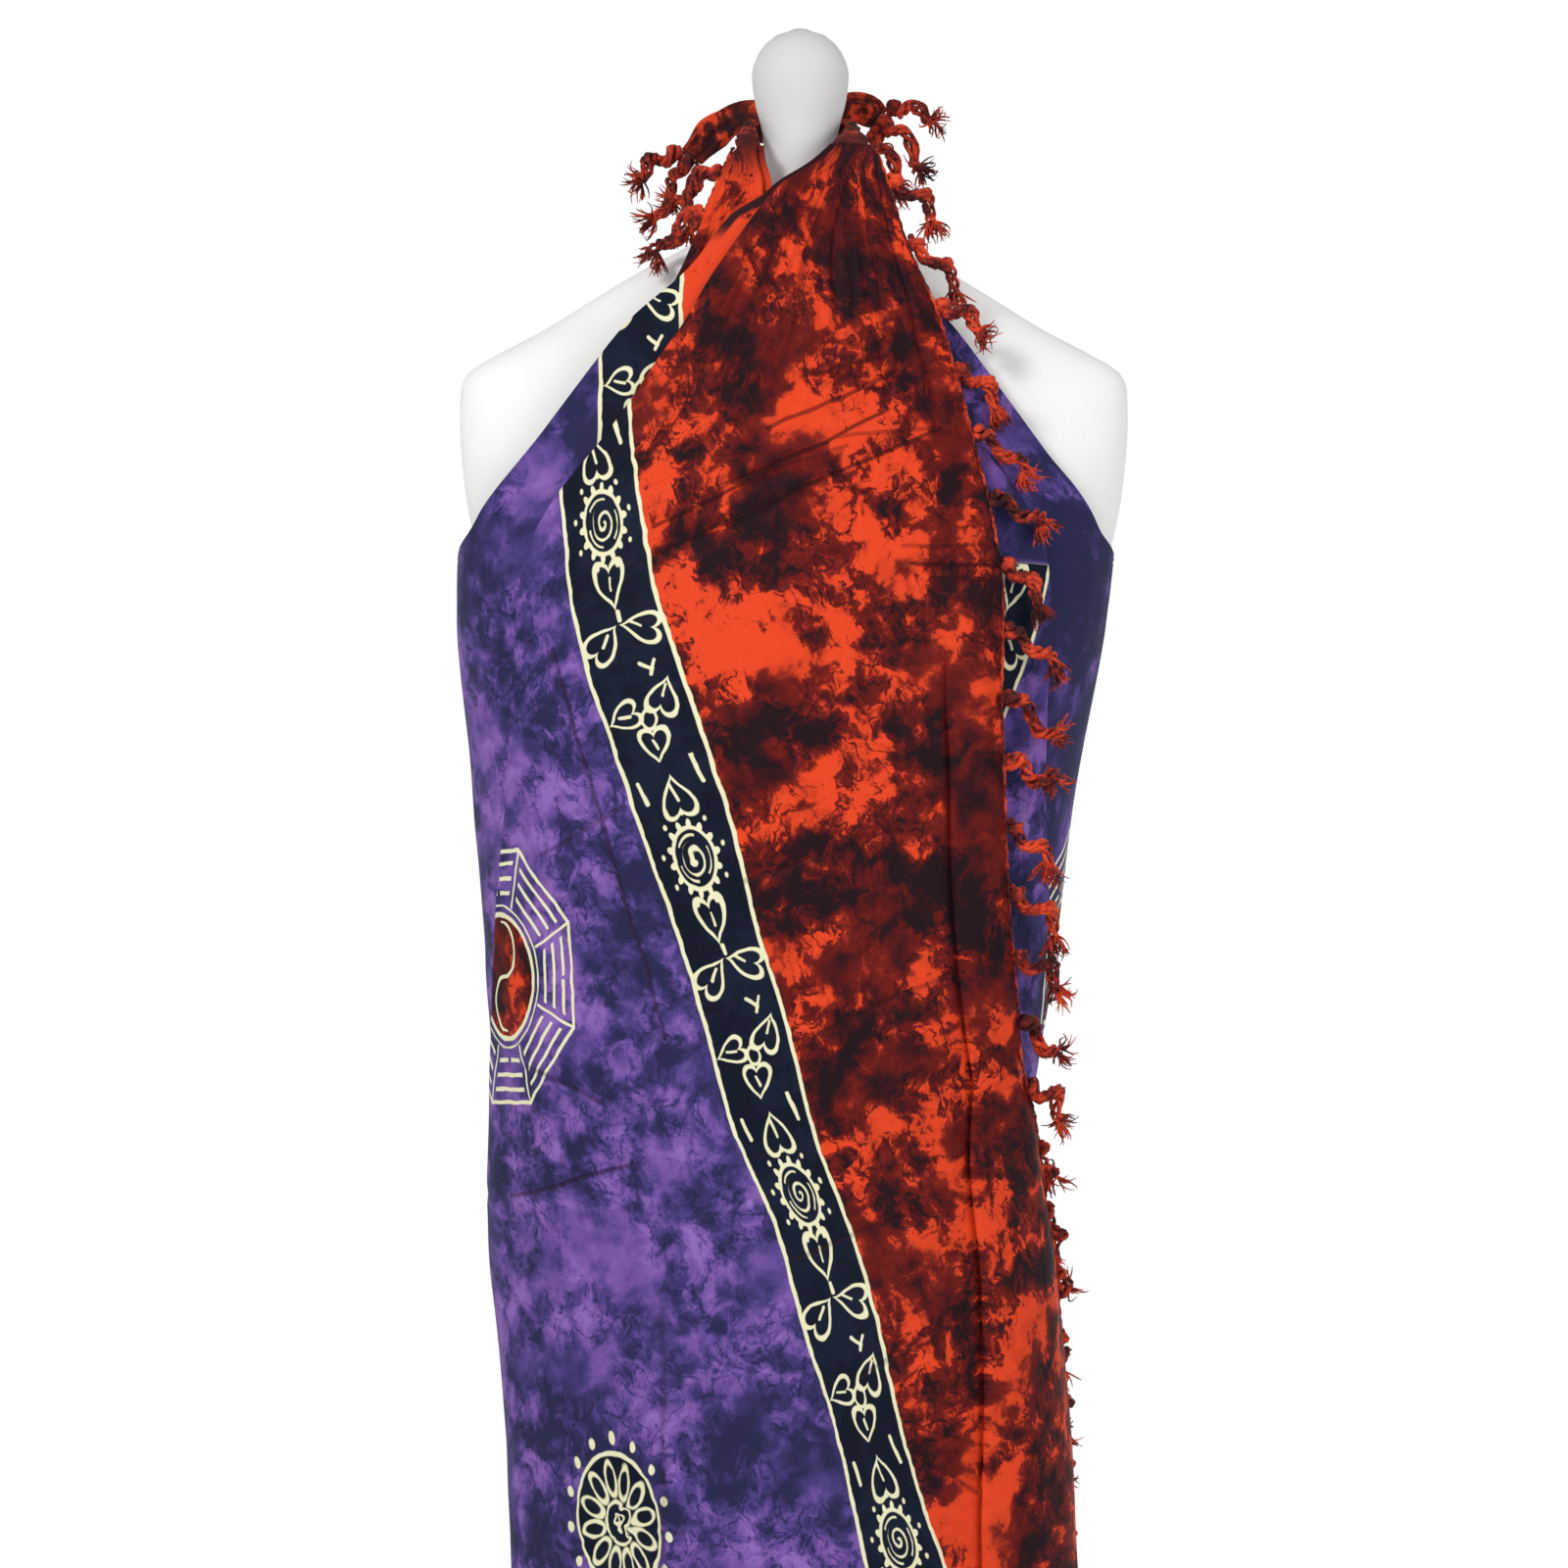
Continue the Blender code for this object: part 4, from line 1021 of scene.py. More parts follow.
def batik(name, look, sun_at, octagon_at, wheel_at):
    """The resist-dyed cloth: orange end, banded border, purple field and its medallions."""
    f = Finish(name, 0.55, 0.0, 0.0, 0.05)
    uv = f.uv()
    u, v, _ = f.split(uv)
    glow = f.value_of("glow")
    dark = f.value_of("shade")
    tone = dye_waves(f, uv, glow)
    embers = f.ramp(
        tone,
        (0.06, (0.0150, 0.0060, 0.0085)),
        (0.22, (0.0460, 0.0062, 0.0080)),
        (0.34, (0.0950, 0.0075, 0.0070)),
        (0.50, (0.1450, 0.0110, 0.0080)),
        (0.57, (0.2700, 0.0220, 0.0110)),
        (0.62, tuple(0.80 * channel for channel in look.orange)),
        (0.78, tuple(look.orange)),
    )
    violets = f.ramp(
        tone,
        (0.10, (0.020, 0.020, 0.068)),
        (0.32, (0.044, 0.032, 0.135)),
        (0.45, (0.072, 0.046, 0.195)),
        (0.56, (0.120, 0.064, 0.270)),
        (0.70, tuple(look.purple)),
        (0.92, (0.235, 0.125, 0.420)),
    )
    from_end = CUT_LENGTH / 2 - abs(u - CUT_LENGTH / 2)
    shake = f.drift(uv, 60.0)
    weight = (f.noise(uv, 120.0, 1.0) - 0.5) * 0.9
    middle = 0.5 * (BAND_START + BAND_END)
    across = (middle - from_end) * 1000.0
    repeats = (v - (sun_at - MOTIF_START)) * (1.0 / BAND_REPEAT)
    down = f.sum("FRACT", repeats) * (BAND_REPEAT * 1000.0) - MOTIF_START * 1000.0
    steady = f.vector("ADD", f.combine(across, down), f.scaled(shake, 1.0))
    spot = f.vector("ADD", f.combine(across, down), f.scaled(shake, 3.0))
    shaken, _, _ = f.split(spot)
    beyond = abs(shaken) - BAND_HALF_MM
    border = abs(beyond) - BAND_LINE_MM
    lines = f.most(waxed(f, band_motifs(f, spot, steady), border), beyond - BAND_LINE_MM) + weight
    on_band = f.step(beyond, 0.5, -0.5)

    def from_centre(place, repeats, unsteady):
        sides = []
        for wire, start, repeat in ((u, place[0], repeats[0]), (v, place[1], repeats[1])):
            away = wire - start
            if repeat:
                away = away - f.sum("ROUND", away * (1.0 / repeat)) * repeat
            sides.append(away * 1000.0)
        return f.vector("ADD", f.combine(*sides), f.scaled(shake, unsteady))

    turned = f.mapping(from_centre(*octagon_at, 2.4), (0.0, 0.0, 0.0), look.medallion_turn)
    octagon, octagon_r = octagon_medallion(f, f.vector("MULTIPLY", turned, (OCTAGON_SQUASH, 1.0, 1.0)))
    wheel, wheel_r = wheel_medallion(f, from_centre(*wheel_at, 1.4), *WHEEL_MM)
    on_field = f.step(from_end, BAND_END + 0.004, BAND_END + 0.008)
    drawn = f.step(f.least(octagon, wheel) + weight, 0.3, -0.3) * on_field
    cream = f.most(f.step(lines, 0.3, -0.3), drawn)
    night = f.mix(f.step(tone, 0.2, 0.8), (0.0050, 0.0075, 0.017, 1.0), (0.0085, 0.0125, 0.028, 1.0))
    colour = f.mix(f.step(from_end, middle - 0.001, middle + 0.001), embers, violets)
    colour = f.mix(f.step(octagon_r, OCTAGON_DISC_MM, OCTAGON_DISC_MM - 0.6) * on_field, colour, embers)
    colour = f.mix(f.step(wheel_r, 0.96, 0.94) * on_field, colour, night)
    colour = f.mix(on_band, colour, night)
    resist = f.mix(f.noise(uv, 60.0, 3.0), (0.66, 0.63, 0.40, 1.0), (*look.cream, 1.0))
    colour = f.mix(cream, colour, resist)
    marks = crease_marks(f)
    # Painted shade: the shade field and the creases' sharp lines darken the colour towards deep maroon.
    colour = f.mix(f.most(dark, marks * CREASE_PAINTED_SHADE), colour, (0.030, 0.009, 0.012, 1.0))
    slubs = f.noise(f.vector("MULTIPLY", uv, (900.0, 260.0, 1.0)), 1.0, 2.0)
    threads = f.noise(f.vector("MULTIPLY", uv, (260.0, 900.0, 1.0)), 1.0, 2.0)
    crush = f.noise(f.vector("MULTIPLY", uv, (38.0, 26.0, 1.0)), 1.0, 4.0, 0.6, 0.8)
    relief = f.bump(slubs + threads, 0.10, 0.0004)
    relief = f.bump(crush, 0.35, 0.004, relief)
    relief = f.bump(1.0 - marks, 0.8, 0.0016, relief)
    rough = 0.50 + f.noise(uv, 140.0, 2.0) * 0.16
    return f.paint(Base_Color=colour, Roughness=rough, Normal=relief)


def rope_finish(look):
    """The gathered ties: the orange end's dye over their creases."""
    f = Finish("gathered_batik", 0.58, 0.0, 0.01, 0.07)
    at = f.place()
    moved = f.vector("ADD", at, f.scaled(f.drift(at, 40.0, 3.0, 0.55), 0.02))
    tone = f.noise(moved, 60.0, 5.0, 0.6, 1.2) * 0.7 + f.noise(at, 26.0, 2.0) * 0.3
    tone = (tone - 0.5) * 2.6 + 0.52
    colour = f.ramp(
        tone,
        (0.20, (0.0125, 0.0085, 0.0115)),
        (0.38, (0.055, 0.010, 0.010)),
        (0.52, (0.120, 0.014, 0.010)),
        (0.60, (0.420, 0.036, 0.014)),
        (0.70, tuple(look.orange)),
    )
    _, _, height = f.split(at)
    # Painted shade: the band is darker at its foot, below about 1.44 m, matching the painted shade along
    # the panel's top.
    colour = f.mix(f.step(height, 1.441, 1.429) * 0.80, colour, (0.062, 0.009, 0.009, 1.0))
    slubs = f.noise(at, 900.0, 2.0)
    return f.paint(Base_Color=colour, Normal=f.bump(slubs, 0.15, 0.0004))


def yarn_finish(look):
    """The fringe's twisted yarn, dyed from rust to nearly black."""
    f = Finish("fringe_yarn_dyed", 0.72, 0.0, 0.06, 0.12)
    at = f.place()
    tone = f.noise(at, 55.0, 3.0, 0.6, 0.5) * 0.75 + f.noise(at, 400.0, 2.0) * 0.25
    colour = f.ramp(
        tone,
        (0.36, (0.020, 0.005, 0.006)),
        (0.46, (0.100, 0.010, 0.009)),
        (0.53, tuple(look.yarn)),
        (0.62, (0.720, 0.068, 0.020)),
    )
    fibres = f.noise(f.vector("MULTIPLY", at, (1.0, 1.0, 0.4)), 1600.0, 2.0)
    return f.paint(Base_Color=colour, Normal=f.bump(fibres, 0.5, 0.0005))


def jersey_finish(look):
    """White stretch jersey with its fine ribs."""
    f = Finish("white_jersey", 0.75, 0.0, 0.05, 0.2)
    at = f.place()
    x, y, z = f.split(at)
    bearing = f.sum("ARCTAN2", y, x)
    ribs = f.sum("SINE", bearing * 420.0) * 0.5 + f.sum("SINE", z * 5200.0) * 0.5
    grime = f.noise(at, 7.0, 3.0)
    colour = f.mix(grime, (0.79, 0.785, 0.775, 1.0), (*look.jersey, 1.0))
    # Painted shade: the neck and knob are greyer from 1.38 m upwards.
    colour = f.mix(f.step(z, 1.38, 1.47) * 0.8, colour, (0.54, 0.535, 0.53, 1.0))
    rough = 0.70 + f.noise(at, 90.0, 2.0) * 0.15
    relief = f.bump(ribs + f.noise(at, 700.0, 2.0), 0.10, 0.0004)
    return f.paint(Base_Color=colour, Roughness=rough, Normal=relief)


def metal_finish(look):
    """Brushed steel, with the brush marks round the stand's axis."""
    f = Finish("brushed_stand_steel", 0.3, 1.0)
    at = f.place()
    x, y, z = f.split(at)
    r = f.sum("SQRT", x * x + y * y)
    marks = f.noise(f.combine(r * 900.0, z * 900.0, f.sum("ARCTAN2", y, x) * 1.5), 1.0, 3.0)
    smear = f.noise(at, 24.0, 3.0)
    colour = f.mix(marks, (0.50, 0.50, 0.52, 1.0), (*look.steel, 1.0))
    rough = 0.24 + smear * 0.16 + marks * 0.06
    return f.paint(Base_Color=colour, Roughness=rough, Normal=f.bump(marks, 0.12, 0.0003))


def spread(count):
    """Shares from 0 to 1 over so many cells."""
    return np.linspace(0.0, 1.0, count + 1)


def panel_hem(share):
    return HEM_SIDE + (HEM_CORNER - HEM_SIDE) * (1.0 - share) ** HEM_SWEEP


def row_heights(top, hem, upper, lower):
    """Heights of a panel's rows, which follow the hem in the lower part; hem is per column."""
    high = np.linspace(top, HEM_ROWS_START, upper, endpoint=False)[:, None] + 0.0 * hem[None, :]
    below = spread(lower)[:, None]
    return np.concatenate((high, HEM_ROWS_START + (hem[None, :] - HEM_ROWS_START) * below))


def gathers(share, height, side=1.0):
    """The gathers that run from the neck into a panel; none at its two edges."""
    width = np.radians(path(FOLD, height, side) - path(FRINGE, height))
    width = width * curve(WRAP_SECTIONS, HALF_WIDTH, height)
    strength = ease(GATHER_FADE[0], GATHER_FADE[1], height) * GATHER_HEIGHT
    strength = np.minimum(strength, GATHER_SLOPE * width)
    inside = ease(0.02, 0.14, share) * (1.0 - ease(0.78, 0.90, share))
    large = strength * inside * np.cos(2 * np.pi * GATHER_COUNT * share)
    small = ease(1.10, 1.38, height) * np.minimum(PUCKER_HEIGHT, PUCKER_SLOPE * width)
    sway = share + 0.012 * np.sin(height * 60.0 + 9.0 * share)
    within = ease(0.01, 0.08, share) * ease(0.97, 0.90, share)
    puckers = np.cos(2 * np.pi * 15.0 * sway) + 0.5 * np.cos(2 * np.pi * 23.0 * sway + 1.0)
    return large + small * within * puckers


def fold_lip(height, layer, side, cells):
    """Angles and lifts round the turned-under lip along a long fold."""
    reach = curve(WRAP_SECTIONS, HALF_WIDTH, height) + layer
    per_metre = np.degrees(1.0 / reach)
    fold = path(FOLD, height, side)
    width = np.radians(fold - path(FRINGE, height)) * (reach - layer)
    lip = np.minimum(FOLD_LIP, FOLD_LIP_SHARE * width)
    angles, lifts = [], []
    for n in range(1, cells + 1):
        turn = math.pi * min(1.0, n / (0.5 * cells))
        back = max(0.0, n / (0.5 * cells) - 1.0)
        out = FOLD_ROUND * FOLD_RETURN * math.sin(turn)
        out -= FOLD_SET_BACK * FOLD_RETURN * (1 - math.cos(turn)) / 2
        angles.append(fold + out * per_metre - back * lip * per_metre)
        lifts.append(layer - FOLD_RETURN * (1 - math.cos(turn)) / 2 + 0.0 * fold)
    return angles, lifts


def lay_panel(columns, hem_shares, side, layer, upper, lower, lip_cells):
    """Angles, heights and lifts of a panel's grid, its fold's lip included."""
    hem = panel_hem(np.concatenate((hem_shares, np.ones(lip_cells))))
    height = row_heights(TOP_HEIGHT, hem, upper, lower)
    main = height[:, : len(hem_shares)]
    angle, lift = columns(main)
    fringe, fold = path(FRINGE, main), path(FOLD, main, side)
    lift = lift + layer + gathers((angle - fringe) / (fold - fringe), main, side)
    lift = lift - TOP_TUCK[0] * ease(TOP_HEIGHT - TOP_TUCK[1], TOP_HEIGHT, main)
    lip_angles, lip_lifts = fold_lip(height[:, -1], layer, side, lip_cells)
    angle = np.concatenate((angle, np.stack(lip_angles, axis=1)), axis=1)
    lift = np.concatenate((lift, np.stack(lip_lifts, axis=1)), axis=1)
    return side * angle, height, lift


def pleated_columns(flap, turns, main):
    """A function that gives the front panel's angles and rises at its heights."""
    shape = np.array(PLEAT_SHAPE)
    knots = np.linspace(0.0, 1.0, len(shape))
    at = spread(turns)[:-1]
    swing, turn, level = (np.interp(at, knots, shape[:, k]) for k in range(3))

    def columns(height):
        count = height.shape[1]
        fringe, fold = path(FRINGE, height), path(FOLD, height)
        crest = curve(PLEAT_PATH, PLEAT_ANGLE, height)
        depth = curve(PLEAT_PATH, PLEAT_DEPTH, height)
        rise = curve(PLEAT_PATH, PLEAT_RISE, height)
        crest = np.maximum(crest, fringe + 0.12 * (fold - fringe))
        run = np.minimum(2.0, 0.06 * (fold - fringe))
        depth = np.minimum(depth, 0.5 * (crest - fringe - run))
        start = crest - depth - 0.25 * run
        flat = np.minimum(1.0, depth / PLEAT_FULL_DEPTH)
        angle, lift = np.empty_like(height), np.zeros_like(height)
        n = np.arange(flap)[None, :] / flap
        part = slice(0, flap)
        angle[:, part] = fringe[:, part] + (start - fringe)[:, part] * n
        lift[:, part] = rise[:, part] * (0.3 + 0.7 * ease(0, 0.5, n))
        part = slice(flap, flap + turns)
        tall = level[None, :] * flat[:, part] + (1.0 - ease(0, 1, turn))[None, :] * (1.0 - flat[:, part])
        angle[:, part] = start[:, part] + run[:, part] * turn[None, :] + depth[:, part] * swing[None, :]
        lift[:, part] = rise[:, part] * tall
        part = slice(flap + turns, count)
        n = np.linspace(0.0, 1.0, count - flap - turns)[None, :]
        angle[:, part] = (start + run)[:, part] + (fold - start - run)[:, part] * n
        return angle, lift

    shares = np.concatenate(
        (
            PLEAT_HEM_SHARE * np.arange(flap) / flap,
            PLEAT_HEM_SHARE + PLEAT_HEM_WIDTH * at,
            PLEAT_HEM_SHARE + PLEAT_HEM_WIDTH + (1.0 - PLEAT_HEM_WIDTH - PLEAT_HEM_SHARE) * spread(main),
        )
    )
    return columns, shares


def smooth_path(corners, per_span):
    """Points on a curve through the corners."""
    corners = [Vector(corner) for corner in corners]
    ends = [2 * corners[0] - corners[1], *corners, 2 * corners[-1] - corners[-2]]
    found = []
    for a, b, c, d in zip(ends, ends[1:], ends[2:], ends[3:]):
        for k in range(per_span):
            t = k / per_span
            found.append(
                0.5
                * (
                    2 * b
                    + (c - a) * t
                    + (2 * a - 5 * b + 4 * c - d) * t * t
                    + (3 * b - 3 * c + d - a) * t**3
                )
            )
    return found + [corners[-1].copy()]


def heading(points, n):
    """The way a curve of points runs at one of them."""
    return (points[min(len(points) - 1, n + 1)] - points[max(0, n - 1)]).normalized()


def square_to(way, along):
    """A way turned until it is square to another."""
    return (way - along * way.dot(along)).normalized()


def turns(count):
    """The angles of so many equal steps once round, in radians."""
    return [2 * math.pi * k / count for k in range(count)]


def closed_loft(name, rings):
    """A closed body through rings of points, with its two ends drawn to a point."""
    rings = [list(ring) for ring in rings]
    for ring, place in ((rings[0], 0), (rings[-1], len(rings))):
        middle = sum((Vector(p) for p in ring), Vector()) / len(ring)
        half = [Vector(p).lerp(middle, 0.5) for p in ring]
        tip = [middle.copy() for _ in ring]
        if place == 0:
            rings.insert(0, half)
            rings.insert(0, tip)
        else:
            rings.append(half)
            rings.append(tip)
    points = np.array([[tuple(p) for p in ring] + [tuple(ring[0])] for ring in rings])
    return joined(name, [grid_mesh(name, points)], 1e-6, outward=True)


def band_mesh(side, thick, lift):
    """A gathered band: wide along the panel's top, a creased rope round the neck."""

    def corner(column, inset):
        angle = side * (float(path(column, TOP_HEIGHT, side)) + inset)
        point = surface(np.array([angle]), np.array([TOP_HEIGHT]), np.array([lift]))[0]
        return Vector(point)

    low, high = corner(FRINGE, 1.0), corner(EDGE, -1.0)
    chord = high - low
    corners = [0.5 * (low + high) - Vector((0.0, 0.0, BAND_TUCK))]
    corners += [Vector((KNOB_SHIFT + side * x, y, z)) for x, y, z in BAND_CORNERS]
    points = smooth_path(corners, 18)
    rings = []
    up = Vector((0.0, 0.0, 1.0))
    for n, point in enumerate(points):
        share = n / (len(points) - 1)
        round_off = float(ease(0.0, 0.30, share))
        along = heading(points, n).lerp(up, 1.0 - round_off).normalized()
        wide = square_to(chord, along).lerp(up, float(ease(0.15, 0.40, share)))
        wide = square_to(wide, along)
        deep = along.cross(wide).normalized()
        half = 0.5 * chord.length * (1.0 - round_off) + BAND_ROPE[0] * round_off
        depth = 0.5 * thick * (1.0 - round_off) + BAND_ROPE[1] * round_off
        depth *= 0.40 + 0.60 * float(ease(0.0, 0.06, share))
        ring = []
        for turn in turns(BAND_ROUND):
            twist = turn + 1.6 * share
            crimp = 1.0 + 0.13 * math.cos(7 * twist) + 0.07 * math.cos(13 * twist + 4.0 * share)
            crimp *= 1.0 + 0.03 * math.sin(30.0 * share + 3.0 * turn)
            out = wide * (half * math.cos(turn) * (0.4 + 0.6 * crimp))
            ring.append(point + out + deep * (depth * crimp * math.sin(turn)))
        rings.append(ring)
    return closed_loft("neck_band", rings)


def knot_mesh():
    """The knot: a grooved body with two tight turns of cloth drawn over it."""
    rings = []
    for step in range(KNOT_STEPS + 1):
        share = -1.0 + 2.0 * step / KNOT_STEPS
        at = 3.0 + 3.0 * share
        low = min(5, int(at))
        radius = KNOT_RADII[low] + (KNOT_RADII[low + 1] - KNOT_RADII[low]) * (at - low)
        ring = []
        for turn in turns(KNOT_ROUND):
            groove = 1.0 + 0.07 * math.cos(5 * turn + 5.0 * share)
            groove += 0.05 * math.cos(11 * turn - 7.0 * share)
            reach = radius * groove * 0.93
            back, up = reach * math.cos(turn), reach * math.sin(turn)
            ring.append((KNOB_SHIFT + KNOT_HALF * share, KNOT_BACK + back, KNOT_HEIGHT + up))
        rings.append(ring)
    meshes = [closed_loft("knot_body", rings)]
    for lean, offset in ((0.35, -0.0015), (-0.30, 0.0035)):
        rows = []
        for turn in (*turns(KNOT_ROUND), 2 * math.pi):
            middle = Vector((0.0, math.cos(turn), math.sin(turn)))
            ring = []
            for round_turn in (*turns(KNOT_TURN_ROUND), 2 * math.pi):
                crimp = 1.0 + 0.18 * math.cos(4 * round_turn + 3 * turn)
                reach = KNOT_TURN_RADIUS + KNOT_TURN_DEEP * math.cos(round_turn) * crimp
                x = KNOT_TURN_HALF * math.sin(round_turn) + offset
                x += lean * KNOT_TURN_RADIUS * math.sin(turn)
                ring.append((KNOB_SHIFT + x, KNOT_BACK + middle.y * reach, KNOT_HEIGHT + middle.z * reach))
            rows.append(ring)
        loop = grid_mesh("knot_turn", np.array(rows))
        meshes.append(joined("knot_turn", [loop], 1e-6, outward=True))
    return joined("nape_knot_cloth", meshes, 1e-7)


def loose_end_mesh(corners, seed):
    """A loose corner of the cloth: a crumpled flap with sharp creases along it."""
    points = smooth_path(corners, 14)
    last = len(points) - 1
    rings = []
    for n, point in enumerate(points):
        at = n / last * (len(LOOSE_HALF_WIDTHS) - 1)
        k = min(int(at), len(LOOSE_HALF_WIDTHS) - 2)
        half = LOOSE_HALF_WIDTHS[k] + (LOOSE_HALF_WIDTHS[k + 1] - LOOSE_HALF_WIDTHS[k]) * (at - k)
        along = heading(points, n)
        wide = square_to(Vector(FLAP_WAY), along)
        deep = along.cross(wide)
        ring = []
        for turn in turns(LOOSE_ROUND):
            pucker = 1.0 + 0.25 * math.cos(3 * turn + 2.0 * n / last)
            crush = 0.30 * math.cos(8 * turn + 5.0 * n / last + seed)
            crush += 0.20 * math.cos(13 * turn - 9.0 * n / last)
            dent = 1.0 + 0.05 * math.sin(17.0 * n / last + 4 * turn + seed)
            ring.append(
                point
                + wide * (half * dent * math.cos(turn))
                + deep * (LOOSE_HALF_THICK * (pucker + crush) * math.sin(turn))
            )
        rings.append(ring)
    return closed_loft("loose_end", rings)


def fringe_roots(side, layer, top, bottom, lean):
    """The root of each tassel on a panel's fringed edge and the way it points."""
    steps = 2 * max(2, int((top - bottom) / TASSEL_SPACING))
    line, roots = [], []
    for n in range(steps + 1):
        height = top + (bottom - top) * n / steps
        angle = side * float(path(FRINGE, height))
        lift = layer
        if side > 0:
            lift += 0.3 * float(curve(PLEAT_PATH, PLEAT_RISE, height))
        here, beyond = (Vector(p) for p in surface(np.array([angle, angle - side * 2.0]), height, lift))
        out = (beyond - here).normalized()
        line.append(here + out * 0.0007)
        if n % 2:
            away = Vector((out.y, -out.x, 0.0)) * side
            direction = (out + away * lean + Vector((0.0, 0.0, -0.35))).normalized()
            roots.append((here + out * (FRINGE_GAP + 0.5 * FRINGE_STRIP_WIDTH), direction))
    return line, roots


def end_roots(side):
    """The roots of the tassels on a loose end's edge."""
    corners = LOOSE_ENDS[side]
    last = Vector(corners[-1])
    out = (last - Vector(corners[-2])).normalized()
    wide = square_to(Vector(FLAP_WAY), out)
    half = LOOSE_HALF_WIDTHS[-1] + 0.003
    line, roots = [], []
    for share in (-1.0, -0.5, 0.0, 0.5, 1.0):
        line.append(last + wide * (half * share) + out * (FRINGE_GAP + 0.001))
    for share in (-0.8, 0.0, 0.8):
        root = last + wide * (half * share) + out * (FRINGE_GAP + 0.0012)
        roots.append((root, (out + wide * (0.5 * share)).normalized()))
    return line, roots


def add_strand(curve_data, points, radii):
    """One strand of yarn: a spline through points with its own thickness at each."""
    strand = curve_data.splines.new("POLY")
    strand.points.add(len(points) - 1)
    for spot, point, radius in zip(strand.points, points, radii):
        spot.co = (*point, 1.0)
        spot.radius = radius


def tassel(thick, fine, root, direction, length, fall, seed, ply_radius):
    """A knot, twisted plies with kinks and loops, and the frayed end of each ply."""
    rng = np.random.default_rng(seed)
    across = direction.cross(Vector((0.0, 0.0, 1.0)))
    across = across.normalized() if across.length > 0.1 else Vector((1.0, 0.0, 0.0))
    up = across.cross(direction).normalized()
    phase = float(rng.uniform(0.0, 6.28))
    kink = float(rng.uniform(0.75, 1.25))
    spine = []
    for n in range(TASSEL_STEPS + 1):
        share = n / TASSEL_STEPS
        out = direction * (length * share * (1.0 - 0.35 * share * fall))
        drop = Vector((0.0, 0.0, -1.0)) * (length * fall * share**1.5)
        held = float(ease(0.0, 0.25, share))
        curl = up * (0.0042 * kink * math.sin(11.5 * share + phase) * held)
        sway = across * (0.0034 * kink * math.cos(9.0 * share + 1.3 * phase) * held)
        spine.append(root + out + drop + curl + sway)
    for ply in range(PLIES):
        points, radii = [], []
        for n, middle in enumerate(spine[:PLY_STEPS]):
            share = n / TASSEL_STEPS
            along = (spine[n + 1] - spine[max(0, n - 1)]).normalized()
            side = along.cross(up).normalized()
            top = side.cross(along).normalized()
            turn = 2 * math.pi * (ply / PLIES + 2.4 * share) + phase + 0.7 * math.sin(14.0 * share + ply)
            knot = math.exp(-(((share - 0.09) / 0.06) ** 2))
            knot += 0.6 * math.exp(-(((share - 0.55) / 0.06) ** 2))
            slack = (0.5 - 0.5 * math.cos(4 * math.pi * share + phase)) * float(ease(0.12, 0.3, share))
            loosened = 0.4 + 0.6 * math.sin(3.1 * ply + phase) ** 2
            reach = ply_radius * (1.15 + 0.7 * knot + 0.55 * slack * loosened)
            points.append(middle + side * (reach * math.cos(turn)) + top * (reach * math.sin(turn)))
            wool = 1.0 + 0.16 * math.sin(47.0 * share + 2.0 * ply + phase)
            radii.append(ply_radius * wool * (1.0 + 0.45 * knot - 0.25 * slack) * (1.0 - 0.30 * share))
        radii[0] *= 0.6
        add_strand(thick, points, radii)
        tip = points[-1]
        heading = (points[-1] - points[-3]).normalized()
        for _ in range(HAIRS):
            spread_out = Vector(rng.normal(0.0, 0.34, 3))
            way = (heading + spread_out).normalized()
            reach = float(rng.uniform(0.006, 0.014))
            bend = Vector(rng.normal(0.0, 0.0016, 3)) + Vector((0.0, 0.0, -0.002))
            hair = []
            for t in np.linspace(0.0, 1.0, len(HAIR_RADII)).tolist():
                sag = Vector((0.0, 0.0, -0.003 * t * t))
                hair.append(tip + way * (reach * t) + bend * (4 * t * (1 - t)) + sag)
            add_strand(fine, hair, HAIR_RADII)
    for _ in range(LOOPS):
        start = int(rng.integers(3, 17))
        reach = int(rng.integers(4, 7))
        swell = Vector(rng.normal(0.0, 1.0, 3)).normalized() * float(rng.uniform(0.0026, 0.0056))
        loop = []
        for k in range(LOOP_STEPS + 1):
            t = k / LOOP_STEPS
            at = start + reach * t
            low = int(at)
            middle = spine[low].lerp(spine[min(TASSEL_STEPS, low + 1)], at - low)
            aside = across * (0.0012 * math.sin(2 * math.pi * t))
            loop.append(middle + swell * math.sin(math.pi * t) + aside)
        add_strand(fine, loop, [LOOP_RADIUS] * len(loop))


def yarn_mesh(name, line, roots, look):
    """A fringe: the bound edge of the cloth and its tassels."""
    parts = []
    for kind, bevel in (("plies", 1), ("hairs", 0)):
        data = bpy.data.curves.new(name + kind, "CURVE")
        data.dimensions = "3D"
        data.bevel_depth = 1.0
        data.bevel_resolution = bevel
        data.use_fill_caps = True
        parts.append(data)
    thick, fine = parts
    for k, (root, direction) in enumerate(roots):
        fall = 0.35 + 0.2 * math.sin(2.3 * k)
        length = TASSEL_LENGTH * (1.0 + 0.12 * math.sin(1.7 * k + 0.5))
        seed = sum(ord(letter) for letter in name) * 31 + k
        tassel(thick, fine, root, direction, length, fall, seed, look.ply_radius)
    for turn in (0.0, math.pi):
        edge = []
        dense = smooth_path(line, 4)
        for n, point in enumerate(dense):
            twist = 1.9 * n + turn
            edge.append(point + Vector((0.0007 * math.cos(twist), -0.0006 * math.sin(twist), 0.0)))
        add_strand(thick, edge, [EDGE_YARN_RADIUS] * len(edge))
    meshes = []
    for data in parts:
        holder = set_out(data.name, data)
        bpy.context.view_layer.update()
        depsgraph = bpy.context.evaluated_depsgraph_get()
        meshes.append(bpy.data.meshes.new_from_object(holder.evaluated_get(depsgraph)))
        bpy.data.objects.remove(holder)
        bpy.data.curves.remove(data)
    return joined(name + "_yarn", meshes, 1e-7)


